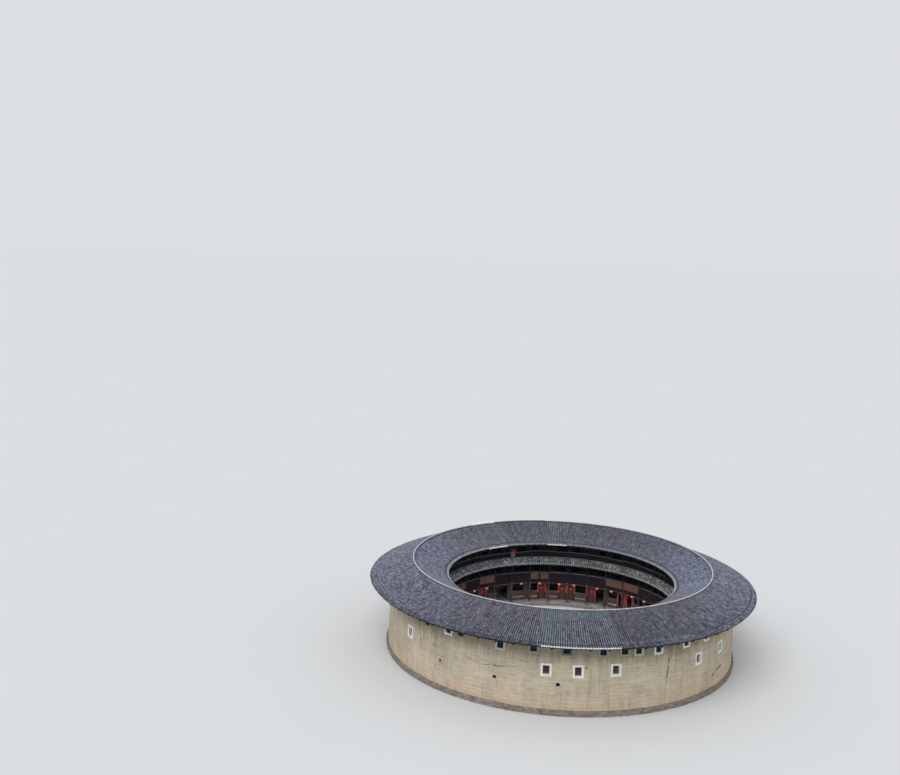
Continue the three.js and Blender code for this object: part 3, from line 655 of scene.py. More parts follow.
# Rings of pieces laid one above another up a slope, as tiles and rafters are.
tree = newTree("laidRings", "GeometryNodeTree", commonInputs | {
    "Per Ring": ("Int", 10), "Rings": ("Int", 1), "First Bearing": ("Float", 0), "Bearing Step": ("Float", 1),
    "Stagger": ("Float", 0), "Radius": ("Float", 1), "Radius Step": ("Float", 0), "Level": ("Float", 0),
    "Level Step": ("Float", 0), "Loose": ("Vector", (0, 0, 0)),
}, geometry)
laidRings = tree.tree
index = tree.give("GeometryNodeInputIndex")
tier = tree.maths("FLOOR", tree.maths("DIVIDE", tree.maths("ADD", index, 0.5), tree["Per Ring"]))
place = tree.maths("SUBTRACT", index, tree.maths("MULTIPLY", tier, tree["Per Ring"]))
shifted = tree.maths("ADD", place, tree.maths("MULTIPLY", tree["Stagger"], tree.maths("MODULO", tier, 2)))
bearing = tree.maths("MULTIPLY_ADD", shifted, tree["Bearing Step"], tree["First Bearing"])
turn = tree.maths("RADIANS", tree.scaled(bearing, -1))
radius, level = (tree.maths("MULTIPLY_ADD", tier, tree[f"{name} Step"], tree[name])
                 for name in ("Radius", "Level"))
local = tree.vectors("ADD", tree.xyz(0, radius, level), tree.around(tree["Loose"], tree["Seed"]))
rotated = tree.give("ShaderNodeVectorRotate", {"Vector": local, "Angle": turn}, rotation_type="Z_AXIS")
count = tree.maths("MULTIPLY", tree["Per Ring"], tree["Rings"])
points = tree.give("GeometryNodePoints", {"Count": count, "Position": rotated})
yaw = tree.maths("ADD", turn, tree.maths("RADIANS", tree["Yaw"]))
setPieces(tree, points, tree.maths("RADIANS", tree["Lean"]), yaw)

# One piece at each point of a mesh, turned to face out from the court.
tree = newTree("placed", "GeometryNodeTree", geometry | commonInputs | {"Facet": ("Float", 0.001)}, geometry)
placed = tree.tree
bearing = tree.maths("DEGREES", tree.angle(tree.axes(tree.give("GeometryNodeInputPosition"))))
whole = tree.maths("FLOOR", tree.maths("DIVIDE", bearing, tree["Facet"]))
middle = tree.maths("MULTIPLY", tree.maths("ADD", whole, 0.5), tree["Facet"])
yaw = tree.maths("RADIANS", tree.maths("SUBTRACT", tree["Yaw"], middle))
setPieces(tree, tree["Geometry"], tree.maths("RADIANS", tree["Lean"]), yaw)


# Runs a tree with its values, and keeps what it makes as a plain mesh.
def grown(name, tree, look, slotName, values, points=()):
    mesh = bpy.data.meshes.new(name)
    mesh.from_pydata(list(points), [], [])
    piece = addObject(name, mesh)
    modifier = piece.modifiers.new(name, "NODES")
    modifier.node_group = tree
    sockets = {item.name: item.identifier for item in tree.interface.items_tree if item.in_out == "INPUT"}
    for label, value in (values | {"Material": finishes[look]}).items():
        modifier[sockets[label]] = value
    depsgraph = bpy.context.evaluated_depsgraph_get()
    made = bpy.data.meshes.new_from_object(piece.evaluated_get(depsgraph), preserve_all_data_layers=True,
                                           depsgraph=depsgraph)
    piece.modifiers.clear()
    piece.data = made
    made.name = name
    return settle(piece, slotName)


# Lays pieces round one ring or more. Sizes and steps are real ones.
def layRings(name, piece, look, slotName, count, radius, level, step=None, first=0.0, rings=1, inwards=0.0,
             upwards=0.0, stagger=0.0, lean=0.0, yaw=0.0, loose=(0.0, 0.0, 0.0), turn=(0.0, 0.0, 0.0),
             grow=0.0, seed=1):
    return grown(name, laidRings, look, slotName, {
        "Piece": piece, "Per Ring": count, "Rings": rings, "Bearing Step": step or 360 / count,
        "First Bearing": first, "Stagger": stagger, "Radius": radius * metre, "Radius Step": inwards * metre,
        "Level": level * metre, "Level Step": upwards * metre, "Lean": lean, "Yaw": yaw, "Loose": loose,
        "Turn": turn, "Grow": grow, "Seed": seed,
    })


# A piece to be copied. It is taken away at the end, and each copy gets a tone of its own.
patterns = []


def pattern(name, shell):
    made = addObject(name, meshOf(name, shell))
    made.data.attributes.remove(made.data.attributes["tone"])
    patterns.append(made)
    return made


# A half-round tile along Y. With a wall it is hollow, so its end shows as a dark arch.
def arch(width, rise, length, wall=0.0, narrow=0.9, steps=4):
    def bow(half, top):
        angles = [math.pi * i / steps for i in range(steps + 1)]
        return [(-half * math.cos(angle), top * math.sin(angle)) for angle in angles]
    section = bow(width / 2, rise) + (bow(width / 2 - wall, rise - wall)[::-1] if wall else [])
    size = len(section)
    points = [
        Vector((x * taper, y, z * taper)) * metre
        for y, taper in ((-length / 2, narrow), (length / 2, 1)) for x, z in section
    ]
    faces = loftFaces(size, 2)
    if wall:
        strips = [(i, i + 1, size - 2 - i, size - 1 - i) for i in range(steps)]
        faces[-2:] = [tuple(end + i for i in strip) for strip in strips for end in (0, size)]
    return addSolid(emptyShell(), points, faces)


# The three tiled slopes. Courses run from the eave up to the top, and rows run up the slope.
slopes = {
    "outer": {"eave": radii["outerEave"], "low": levels["outerEave"], "top": radii["ridge"],
              "high": levels["apex"], "rows": 576, "courses": 27, "overhang": 0.07, "layer": 2},
    "inner": {"eave": radii["innerEave"], "low": levels["innerEave"], "top": radii["ridge"],
              "high": levels["apex"], "rows": 432, "courses": 23, "overhang": 0.07, "layer": 1},
    "skirt": {"eave": radii["skirtEdge"], "low": levels["skirtEdge"], "top": radii["skirtTop"],
              "high": levels["skirtTop"], "rows": 340, "courses": 5, "overhang": 0.04, "layer": 2},
}
for slope in slopes.values():
    slope["step"] = (slope["top"] - slope["eave"]) / slope["courses"]
    slope["outwards"] = -1 if slope["step"] > 0 else 1
pan = {"bed": 0.012, "butt": 0.05, "head": 0.016, "columns": 180}
cover = {"width": 0.155, "rise": 0.085, "length": 0.27, "seat": 0.026, "tilt": 3.5}
eaveTile = {"width": 0.17, "rise": 0.105, "length": 0.24, "wall": 0.02, "back": 0.05}
plaster = {"width": 0.215, "rise": 0.16, "length": 0.07, "out": 0.14}
upperLift = 0.05  # how far the upper layer of tiles, from its course on, lies above the lower one


def slopeLevel(slope, radius):
    rise = (slope["high"] - slope["low"]) / (slope["top"] - slope["eave"])
    return slope["low"] + (radius - slope["eave"]) * rise


# From the eave up: each pan tile lies with its thick end on the one below.
def panSection(slope):
    edge = slope["eave"] + slope["outwards"] * slope["overhang"]
    section = []
    for course in range(slope["courses"]):
        raised = pan["bed"] + (upperLift if course >= slope["layer"] else 0)
        start = slope["eave"] + course * slope["step"] if course else edge
        end = slope["eave"] + (course + 1) * slope["step"]
        section.append((start, slopeLevel(slope, start) + raised + pan["butt"]))
        section.append((end, slopeLevel(slope, end) + raised + pan["head"]))
    return section + [(radius, slopeLevel(slope, radius) + pan["bed"]) for radius in (slope["top"], edge)]


# Tiles that follow a slope, from one radius up, with the ends of the rows one above another.
def layOnSlope(name, slope, piece, look, slotName, count, radius, lifted, turn, seed, first=0.0, rings=1):
    pitch = math.degrees(math.atan2(slope["high"] - slope["low"], abs(slope["top"] - slope["eave"])))
    upwards = (slopeLevel(slope, 1) - slopeLevel(slope, 0)) * slope["step"]
    layRings(name, piece, look, slotName, count, radius,
             slopeLevel(slope, radius) + pan["bed"] + cover["seat"] + lifted, step=360 / slope["rows"],
             first=first, rings=rings, inwards=slope["step"], upwards=upwards, lean=-pitch + cover["tilt"],
             yaw=180.0 if slope["outwards"] < 0 else 0.0, loose=(0.004, 0.006, 0.002), turn=turn, grow=0.06,
             seed=seed)


def layTiles(name, slope, seed, look, slotName, count, first=0.0):
    start, layer = slope["eave"] + slope["outwards"] * slope["overhang"] + slope["step"] / 2, slope["layer"]
    for part, course, rings, lifted in (("lower", 0, layer, 0),
                                        ("upper", layer, slope["courses"] - layer, upperLift)):
        radius = start + course * slope["step"]
        layOnSlope(f"{name}_{part}", slope, coverPattern, look, slotName, count, radius, lifted,
                   (0.02, 0.03, 0.035), seed + course, first, rings)


# The last tile of each row, at the eave and where the upper layer starts.
def layEaveTiles(name, slope, course, seed, piece, look, slotName, first=0.0, rows=None, out=0.0):
    reach = slope["outwards"] * (slope["overhang"] - eaveTile["back"] + out)
    radius = slope["eave"] + course * slope["step"] + reach
    layOnSlope(name, slope, piece, look, slotName, rows or slope["rows"], radius, upperLift if course else 0,
               (0.03, 0.03, 0.04), seed, first)


coverPattern = pattern("cover_pattern", arch(cover["width"], cover["rise"], cover["length"]))
eavePattern = pattern("eave_pattern", arch(eaveTile["width"], eaveTile["rise"], eaveTile["length"],
                                           eaveTile["wall"]))
plugPattern = pattern("plug_pattern", arch(plaster["width"], plaster["rise"], plaster["length"], narrow=0.96))

for name, slope in slopes.items():
    look, slotName = ("mossyPan", "mossy_tile") if name == "skirt" else ("pan", "tile")
    makePiece(f"{name}_pans", revolve(emptyShell(), panSection(slope), pan["columns"]), look, slotName)
for side, seed, first in (("east", 40, 0.0), ("west", 90, 180.0)):
    for name, look, more in (("outer", "tile", 0), ("inner", "innerTile", 20)):
        count = slopes[name]["rows"] // 2
        layTiles(f"{name}_tiles_{side}", slopes[name], seed + more, look, "tile", count, first)
layTiles("skirt_tiles", slopes["skirt"], 150, "mossyTile", "mossy_tile", slopes["skirt"]["rows"])
for name, label, course, look in (("outer", "edge", 0, "eaveTile"), ("outer", "second", 2, "tile"),
                                  ("inner", "edge", 0, "paleEave"), ("inner", "second", 1, "tile")):
    layEaveTiles(f"{name}_{label}_tiles", slopes[name], course, 200 + course, eavePattern, look, "tile")
layEaveTiles("skirt_edge_tiles", slopes["skirt"], 0, 220, eavePattern, "paleEave", "mossy_tile")
print("tiles laid")

# Ends of rows that are plugged with white mortar: first bearing and how many rows.
limedEnds = {"outer": [(170.0, 33), (-27.5, 15)], "inner": [(-37.5, 15), (-1.667, 13)]}
for name, stretches in limedEnds.items():
    for i, (first, rows) in enumerate(stretches):
        rowStep = 360 / slopes[name]["rows"]
        layEaveTiles(f"{name}_limed_ends_{i + 1}", slopes[name], 0, 230 + i, plugPattern, "whiteTile",
                     "mortar", round(first / rowStep) * rowStep, rows, plaster["out"])

# Ridge: half-round caps end to end on the mortar ring. One stretch was limed anew, and the next one is dark.
ridgeCap = {"width": 0.16, "rise": 0.075, "length": 0.27, "count": 440, "sunk": 0.01}
limedCap = {"width": 0.34, "rise": 0.26}
capPattern = pattern("cap_pattern", arch(ridgeCap["width"], ridgeCap["rise"], ridgeCap["length"], narrow=0.86))
limedPattern = pattern("limed_cap_pattern", arch(limedCap["width"], limedCap["rise"], ridgeCap["length"],
                                                 narrow=0.95))
for name, first, last, piece, look in (("limed", -36.3, -24.5, limedPattern, "whiteTile"),
                                       ("dark", -24.5, -1.9, capPattern, "eaveTile"),
                                       ("plain", -1.9, 323.7, capPattern, "mortar")):
    step = 360 / ridgeCap["count"]
    layRings(f"ridge_caps_{name}", piece, look, "mortar", round((last - first) / step), radii["ridge"],
             levels["ridgeTop"] - ridgeCap["sunk"], step=step, first=first, yaw=90.0,
             loose=(0.003, 0.004, 0.003), turn=(0.03, 0.02, 0.03), grow=0.05, seed=9)
print("ridge laid")

# Openings of the earth wall: the bearing of each window and the level of its middle.
windowSize = {"width": 0.72, "height": 0.94}
upperWindows = {
    134.3: 6.87, 144: 6.9, 154.8: 6.82, 161.5: 6.94, 166: 6.98, 172.5: 7, 183.2: 7.08, 192.9: 7.04, 203: 6.86,
    216.4: 7.15, 221.1: 7.04, 230.4: 6.98,
}
upperWindows |= {bearing: 6.97 for bearing in [*range(255, 360, bay), *range(5, 120, bay)]}
middleWindows = {124.8: 4.7, 138.1: 4.6, 168.5: 4.92, 179.7: 4.78, 189: 4.78, 239.5: 4.78}
middleWindows |= {bearing: 4.78 for bearing in (265, 285, 325, 345, 15, 35, 65, 85, 105)}
gate = {"bearing": 337, "half": 1.251, "head": 2.951}

# Each putlog hole: bearing, level and half its size.
putlogHoles = [
    (223.9, 3.24, 0.17), (236.4, 4.29, 0.09), (204.4, 3.21, 0.19), (185.4, 3.27, 0.2), (177.4, 5.2, 0.08),
    (161.7, 5.0, 0.06), (141.3, 3.02, 0.08), (30, 3.2, 0.12), (72, 3.3, 0.12), (294, 3.25, 0.13),
]
putlog = {"deep": 0.34, "back": 0.24, "bury": 0.02}
skin = {"step": 1.0, "clear": 0.3, "groove": 0.014, "grooveHalf": 0.025, "rough": 0.016, "coarse": 0.03,
        "flare": 0.1, "margin": 0.05, "rowClear": 0.02}
wallTop = {"outer": 8.9545, "inner": 9.3054}


def wallRadius(level):
    share = (level - levels["footing"]) / (wallTop["outer"] - levels["footing"])
    return radii["wallBase"] + (radii["wallTop"] - radii["wallBase"]) * share


def edgeBearings(bearing, half, radius):
    swing = math.degrees(math.atan(half / radius))
    return round(bearing - swing, 6), round(bearing + swing, 6)


def edgeLevels(level, half):
    return round(level - half, 6), round(level + half, 6)


# The wall's outer face bulges a little, and its skin is rough.
def outerPoint(bearing, level, groove):
    sample = spot(radii["wallTop"], bearing, level)
    bumps = skin["coarse"] * noise.noise(sample * 0.7) + skin["rough"] * noise.noise(sample * 4)
    patchy = 0.5 + 0.5 * noise.noise(sample * 1.4)
    return spot(wallRadius(level) + bumps - groove * patchy, bearing, level)


# One closed mesh: rough outside, smooth inside, with reveals through it and putlog holes into it.
def earthWall():
    base, top = levels["footing"] + 0.001, wallTop["outer"]
    boxes = [
        (bearing, windowSize["width"] / 2, *edgeLevels(level, windowSize["height"] / 2))
        for storey in (upperWindows, middleWindows) for bearing, level in storey.items()
    ] + [(gate["bearing"], gate["half"], base, gate["head"])]
    edges, openings = {}, []
    for bearing, half, low, high in boxes:
        outer = edgeBearings(bearing, half, radii["wallTop"] + skin["flare"])
        edges.update(zip(outer, edgeBearings(bearing, half, radii["wallInner"])))
        openings.append((*outer, low, high))
    holes = [(*edgeBearings(bearing, half, radii["wallTop"]), *edgeLevels(level, half))
             for bearing, level, half in putlogHoles]
    edges = {edge: edge for hole in holes for edge in hole[:2]} | edges
    turns = [i * skin["step"] for i in range(int(360 / skin["step"]))]
    free = [turn for turn in turns if all(abs(turn - edge) > skin["clear"] for edge in edges)]
    columns = sorted([*edges, *free])

    # Rows of points stand at every edge of an opening, and at the joints between the lifts.
    coarse = {top} | {level for box in openings for level in box[2:]}
    fixed = coarse | {level for hole in holes for level in hole[2:]}
    grooves = dict.fromkeys(fixed, 0)
    for k in range(1, math.floor((top - base) / lift["height"]) + 1):
        for offset, depth in ((-skin["grooveHalf"], 0), (0, skin["groove"]), (skin["grooveHalf"], 0)):
            level = round(k * lift["height"] + offset, 6)
            within = base + skin["margin"] < level < top - skin["margin"]
            if within and all(abs(level - other) > skin["rowClear"] for other in fixed):
                grooves[level] = depth
    rows = sorted(grooves)
    coarseRows = [rows.index(level) for level in sorted(coarse)]
    last = len(rows) - 1
    points = [outerPoint(bearing, level, grooves[level]) for bearing in columns for level in rows]
    innerStart = len(points)
    innerLevels = [wallTop["inner"] if k == last else rows[k] for k in coarseRows]
    points += [spot(radii["wallInner"], edges.get(bearing, bearing), level)
               for bearing in columns for level in innerLevels]

    def outside(c, k):
        return c % len(columns) * len(rows) + k

    def inside(c, k):
        return innerStart + c % len(columns) * len(coarseRows) + coarseRows.index(k)

    def spans(boxes):
        return [(*map(columns.index, box[:2]), *map(rows.index, box[2:])) for box in boxes]

    def cells(boxes):
        return {(c, k) for left, right, bottom, top in boxes
                for c in range(left, right) for k in range(bottom, top)}

    openings, holes = spans(openings), spans(holes)
    through, openCells = cells(openings), cells(openings + holes)
    faces = []
    for c in range(len(columns)):
        faces += [(outside(c, k), outside(c, k + 1), outside(c + 1, k + 1), outside(c + 1, k))
                  for k in range(last) if (c, k) not in openCells]
        faces += [(inside(c, k), inside(c + 1, k), inside(c + 1, above), inside(c, above))
                  for k, above in zip(coarseRows, coarseRows[1:]) if (c, k) not in through]
        faces.append((outside(c, last), inside(c, last), inside(c + 1, last), outside(c + 1, last)))
        if (c, 0) not in openCells:
            faces.append((outside(c, 0), outside(c + 1, 0), inside(c + 1, 0), inside(c, 0)))
    for left, right, bottom, top in openings:
        for c in range(left, right):
            faces += [(outside(c, k), outside(c + 1, k), inside(c + 1, k), inside(c, k))
                      for k in (top, bottom) if k]
        within = [k for k in reversed(coarseRows) if bottom <= k <= top]
        for c in (left, right):
            faces.append([outside(c, k) for k in range(bottom, top + 1)] + [inside(c, k) for k in within])
    for left, right, bottom, top in holes:
        rim = [(c, bottom) for c in range(left, right)] + [(right, k) for k in range(bottom, top)]
        rim += [(c, top) for c in range(right, left, -1)] + [(left, k) for k in range(top, bottom, -1)]
        rim, first = [outside(c, k) for c, k in rim], len(points)
        for corner in rim:
            inwards = points[corner].xy.normalized() * putlog["deep"] * metre
            points.append(points[corner] - Vector((inwards.x, inwards.y, 0)))
        back = list(range(first, len(points)))
        faces += list(zip(rim, rim[1:] + rim[:1], back[1:] + back[:1], back)) + [back]
    return addSolid(emptyShell(), points, faces)


wall = makePiece("rammed_wall", earthWall(), "earth", "earth")
for polygon in wall.data.polygons:
    polygon.use_smooth = True
wall.data.set_sharp_from_angle(angle=math.radians(40))
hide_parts(*(name for name in cadNodes if name.startswith(("earth_wall", "upper_wall"))))
# Dark boxes at the back of each putlog hole: painted shade deep inside the holes.
holeShades = emptyShell()
for bearing, level, half in putlogHoles:
    face = wallRadius(level)
    slab(holeShades, bearing, (-half, half), (face - putlog["deep"] - putlog["bury"], face - putlog["back"]),
         (level - half, level + half))
makePiece("putlog_stubs", holeShades, "hollow", "timber")
print("earth wall rammed,", len(wall.data.polygons), "faces")

# Windows of the earth wall: a limed surround, a timber frame with bars, and glass in the top storey.
surrounds = {
    "upper": {"side": 0.19, "below": 0.2, "above": 0.14, "into": 0.28},
    "middle": {"side": 0.215, "below": 0.225, "above": 0.2, "into": 0.34},
}
render = {"proud": 0.03, "edge": 0.018, "round": 0.03, "lining": 0.014, "bury": 0.05, "cover": 0.01,
          "sunk": 0.004}
casement = {"frame": 0.06, "thick": 0.05, "upper": 0.16, "middle": 0.26}
pane = {"margin": 0.05, "thick": 0.01}
wallLean = math.degrees(math.atan2(radii["wallBase"] - radii["wallTop"], wallTop["outer"] - levels["footing"]))
innerHalf = [windowSize[side] / 2 - render["lining"] for side in ("width", "height")]


# A band of plaster round the opening that turns into it and lines it.
def surround(size):
    lining, proud, edge, into = render["lining"], render["proud"], render["edge"], size["into"]
    points = []
    for share, extra, y in (
        (1, 0, -render["bury"]), (1, 0, edge), (1, -render["round"], proud), (0, 0, proud), (0, -lining, edge),
        (0, -lining, -into), (0, render["cover"], -into), (0, render["cover"], -render["bury"]),
    ):
        for signX, signZ in ((-1, -1), (1, -1), (1, 1), (-1, 1)):
            margin = size["above"] if signZ > 0 else size["below"]
            x = signX * (windowSize["width"] / 2 + share * size["side"] + extra)
            z = signZ * (windowSize["height"] / 2 + share * margin + extra)
            points.append(Vector((x, y, z)) * metre)
    return addSolid(emptyShell(), points, loftFaces(4, 8, endless=True))


# A timber frame with upright bars and one rail across them.
def windowBars(setback, bar, count, rail):
    shell, side, (x, z) = emptyShell(), casement["frame"], innerHalf
    y = (-setback - casement["thick"], -setback)
    slab(shell, 0, (-x, side - x), y, (-z, z))
    slab(shell, 0, (x - side, x), y, (-z, z))
    slab(shell, 0, (side - x, x - side), y, (-z, side - z))
    slab(shell, 0, (side - x, x - side), y, (z - side, z))
    for i in range(1, count + 1):
        middle = (x - side) * (2 * i / (count + 1) - 1)
        slab(shell, 0, (middle - bar / 2, middle + bar / 2), (y[0] + 0.01, y[1] - 0.01), (side - z, z - side))
    return slab(shell, 0, (side - x, x - side), (y[0] + 0.015, y[1] - 0.005), (-rail / 2, rail / 2))


surroundPatterns = {kind: pattern(f"surround_{kind}", surround(size)) for kind, size in surrounds.items()}
barsPattern = pattern("bars_pattern", windowBars(casement["middle"], 0.034, 5, 0.05))
crossPattern = pattern("cross_pattern", windowBars(casement["upper"], 0.045, 1, 0.045))
(paneX, paneZ), paneY = (half - pane["margin"] for half in innerHalf), -casement["upper"] - casement["thick"]
panePattern = pattern("pane_pattern", slab(emptyShell(), 0, (-paneX, paneX), (paneY, paneY + pane["thick"]),
                                           (-paneZ, paneZ)))


def windowSpots(storey, left=()):
    return [spot(wallRadius(level) - render["sunk"], bearing, level)
            for bearing, level in storey.items() if bearing not in left]


bareWindows = [216.4, 230.4]
# One upper surround has a tan wash; the others listed here are lime painted darker, as painted shade of the
# eave.
tintedAndShadedWindows = {"tanLime": [166], "greyLime": [183.2], "duskLime": [192.9, 172.5], "dullLime": [203, 161.5]}
still = {"Lean": wallLean, "Seed": 3}
stirred = still | {"Turn": (0.0, 0.012, 0.0), "Grow": 0.02}
upperSpots, middleSpots = windowSpots(upperWindows), windowSpots(middleWindows)
limedSpots = windowSpots(upperWindows, sum(tintedAndShadedWindows.values(), bareWindows))
tintedAndShaded = {tint: windowSpots({bearing: upperWindows[bearing] for bearing in bearings})
          for tint, bearings in tintedAndShadedWindows.items()}
for name, piece, look, slotName, values, points in (
    ("surrounds_upper", surroundPatterns["upper"], "lime", "whitewash", stirred, limedSpots),
    ("surrounds_middle", surroundPatterns["middle"], "lime", "whitewash", stirred, middleSpots),
    *((f"surround_{tint}", surroundPatterns["upper"], tint, "whitewash", stirred, points)
      for tint, points in tintedAndShaded.items()),
    ("bars", barsPattern, "casement", "timber", still, middleSpots),
    ("crosses", crossPattern, "timber", "timber", still, upperSpots),
    ("panes", panePattern, "glass", "timber", still, upperSpots),
):
    grown(f"window_{name}", placed, look, slotName, values | {"Piece": piece}, points)
print("windows set,", len(upperSpots) + len(middleSpots))

# Footing: three courses of rubble against the base of the wall.
rough = {"bevel": 0.16, "jitter": 0.06}
rubble = {"stones": 300, "kinds": 3, "courses": 3, "depth": 0.16, "proud": 0.035, "first": 340.6,
          "wider": 1.04, "higher": 1.06}


def roughStone(name, width, depth, height, seed):
    work = bmesh.new()
    bmesh.ops.create_cube(work, size=1)
    bmesh.ops.bevel(work, geom=work.edges[:], offset=rough["bevel"], segments=1, affect="EDGES", profile=0.6)
    jitter, points = random.Random(seed), []
    for vertex in work.verts:
        place = vertex.co + Vector([jitter.uniform(-rough["jitter"], rough["jitter"]) for _ in range(3)])
        points.append(Vector((place.x * width, place.y * depth, place.z * height)) * metre)
    shell = addSolid(emptyShell(), points, [[v.index for v in face.verts] for face in work.faces])
    work.free()
    return pattern(name, shell)


courseHeight = levels["footing"] / rubble["courses"]
stoneWidth = 2 * math.pi * radii["footing"] / rubble["stones"]
for i in range(rubble["kinds"]):
    kind = roughStone(f"stone_pattern_{i}", stoneWidth * rubble["wider"], rubble["depth"],
                      courseHeight * rubble["higher"], 30 + i)
    layRings(f"footing_stones_{i + 1}", kind, "rubble", "rubble", rubble["stones"] // rubble["kinds"],
             radii["footing"] - rubble["depth"] / 2 + rubble["proud"], courseHeight / 2,
             first=rubble["first"] + i * 360 / rubble["stones"], rings=rubble["courses"], upwards=courseHeight,
             stagger=0.17, loose=(0.008, 0.008, 0.004), turn=(0.08, 0.05, 0.04), grow=0.1, seed=70 + i)

# Paving: worn flags on the walk round the court, and long kerb stones at its edge.
flags = {"perRing": 96, "rings": 3, "top": 0.012, "gap": 0.012, "thick": 0.05, "shift": 1.6, "inwards": 0.03}
kerb = {"stones": 84, "width": 0.3, "height": 0.17, "gap": 0.01, "out": 0.02, "level": 0.1}
flagDepth = (wallFace - radii["pavingEdge"] * bayCosine - kerb["width"]) / flags["rings"]
for i in range(flags["rings"]):
    radius = radii["pavingEdge"] + kerb["width"] + (i + 0.5) * flagDepth - flags["inwards"]
    width = 2 * math.pi * radius / flags["perRing"] - flags["gap"]
    flag = roughStone(f"flag_pattern_{i}", width, flagDepth - flags["gap"], flags["thick"], 50 + i)
    layRings(f"paving_flags_{i + 1}", flag, "paving", "paving", flags["perRing"], radius,
             levels["paving"] + flags["top"] - flags["thick"] / 2, first=flags["shift"] * i,
             loose=(0.004, 0.004, 0.002), turn=(0.006, 0.006, 0.012), grow=0.01, seed=80 + i)
kerbLength = 2 * math.pi * radii["pavingEdge"] / kerb["stones"] - kerb["gap"]
kerbPattern = roughStone("kerb_pattern", kerbLength, kerb["width"], kerb["height"], 5)
layRings("kerb_stones", kerbPattern, "kerb", "granite", kerb["stones"],
         radii["pavingEdge"] + kerb["width"] / 2 - kerb["out"], kerb["level"], loose=(0.003, 0.01, 0.003),
         turn=(0.02, 0.02, 0.02), grow=0.02, seed=90)
print("stones laid")

# Roof timbers: rafters under both eaves, the purlins that carry them, and beams out of the wall.
rafter = {"size": 0.11, "outer": (20.14, 22.42, 353), "inner": (13.58, 15.7, 252)}
purlin = {"size": 0.15, "sides": 8, "radii": (21.1, 22.1), "steps": 72}
beam = {"count": 72, "size": 0.2, "sides": 8, "from": 19.95, "to": 22.25, "first": 2.5, "level": 7.83}
roofSlab = {"eave": 0.18, "more": 0.12}


def pole(name, size, length, sides=6):
    angles = [2 * math.pi * i / sides for i in range(sides)]
    points = [Vector((math.cos(angle) * size / 2, y, math.sin(angle) * size / 2)) * metre
              for y in (-length / 2, length / 2) for angle in angles]
    return pattern(name, addSolid(emptyShell(), points, loftFaces(sides, 2)))


# The underside of a roof slab, which is thinner at its eave.
def underside(slope, radius):
    share = (slope["eave"] - radius) / (slope["eave"] - slope["top"])
    return slopeLevel(slope, radius) - roofSlab["eave"] - roofSlab["more"] * share


for name in ("outer", "inner"):
    slope, (near, far, count) = slopes[name], rafter[name]
    middle = (near + far) / 2
    drop = (underside(slope, far) - underside(slope, near)) / (far - near)
    raft = pole(f"{name}_rafter_pattern", rafter["size"], (far - near) * math.hypot(1, drop))
    layRings(f"{name}_rafters", raft, "timber", "timber", count, middle,
             underside(slope, middle) - rafter["size"] / 2, lean=math.degrees(math.atan(drop)),
             loose=(0.01, 0.006, 0.001), turn=(0.0, 0.0, 0.012), grow=0.01, seed=100 + count)
purlins = emptyShell()
for radius in purlin["radii"]:
    half = purlin["size"] / 2
    level = underside(slopes["outer"], radius) - rafter["size"] - half
    angles = [2 * math.pi * i / purlin["sides"] for i in range(purlin["sides"])]
    section = [(radius + half * math.cos(angle), level + half * math.sin(angle)) for angle in angles]
    revolve(purlins, section, purlin["steps"])
makePiece("eave_purlins", purlins, "timber", "timber")
beamPattern = pole("beam_pattern", beam["size"], beam["to"] - beam["from"], beam["sides"])
layRings("eave_beams", beamPattern, "timber", "timber", beam["count"], (beam["from"] + beam["to"]) / 2,
         beam["level"], first=beam["first"], loose=(0.015, 0.01, 0.0), turn=(0.0, 0.0, 0.008), grow=0.02,
         seed=120)
print("eaves framed")

# Galleries: upright boards on the parapets, cap rails, joists and stone plinths under the posts.
parapet = {"boards": 9, "thick": 0.025, "half": 0.06, "gap": 0.012, "floor2": (2.98, 4.2),
           "floor3": (5.55, 6.3), "patchFoot": 3.36, "patchGap": 0.02, "hang": 0.09, "post": 0.1}
lighterBays = [-55, -35, -5, 35, 45]  # middles of the bays that were boarded again in brown wood
splitBays = [-55, -5]  # of these, the ones with a dark board in the middle
capRail = {"deep": 0.2, "thick": 0.06, "levels": (4.24, 6.35)}
joist = {"half": 0.05, "out": 0.07, "in": 0.02, "below": (0.32, 0.162), "shares": (-0.36, -0.12, 0.12, 0.36)}

old, fresh, upper = emptyShell(), emptyShell(), emptyShell()
for middle in bayMiddles:
    clear = postChord - 2 * parapet["post"]
    wide = clear / parapet["boards"]
    for i in range(parapet["boards"]):
        x, front = -clear / 2 + i * wide, postFace - parapet["half"]
        across = (x + parapet["gap"] / 2, x + wide - parapet["gap"] / 2)
        deep = (front - parapet["thick"] + draw.uniform(-0.006, 0.004), front - 0.001)
        (low, high), patch = parapet["floor2"], parapet["patchFoot"]
        foot = low - parapet["hang"] + draw.uniform(-0.03, 0.03)
        if middle in lighterBays and not (middle in splitBays and i == parapet["boards"] // 2):
            slab(fresh, middle, across, deep, (patch, high))
            high = patch - parapet["patchGap"]
        slab(old, middle, across, deep, (foot, high))
        slab(upper, middle, across, deep, parapet["floor3"])
makePiece("parapet_boards_2", old, "darkBoards", "boards")
makePiece("parapet_boards_2_brown", fresh, "brownBoards", "boards")
makePiece("parapet_boards_3", upper, "darkBoards", "boards")

rails, joists = emptyShell(), emptyShell()
for middle in bayMiddles:
    half, deep = postChord / 2 - parapet["post"], capRail["deep"] / 2
    for level in capRail["levels"]:
        slab(rails, middle, (-half, half), (postFace - deep, postFace + deep),
             (level + 0.001, level + capRail["thick"]))
makePiece("cap_rails", rails, "wornTimber", "timber")
for middle in bayMiddles:
    for level in (levels["floor2"], levels["floor3"]):
        for x in (share * postChord for share in joist["shares"]):
            slab(joists, middle, (x - joist["half"], x + joist["half"]),
                 (postFace + joist["out"], wallFace + joist["in"]), [level - below for below in joist["below"]])
makePiece("floor_joists", joists, "timber", "timber")

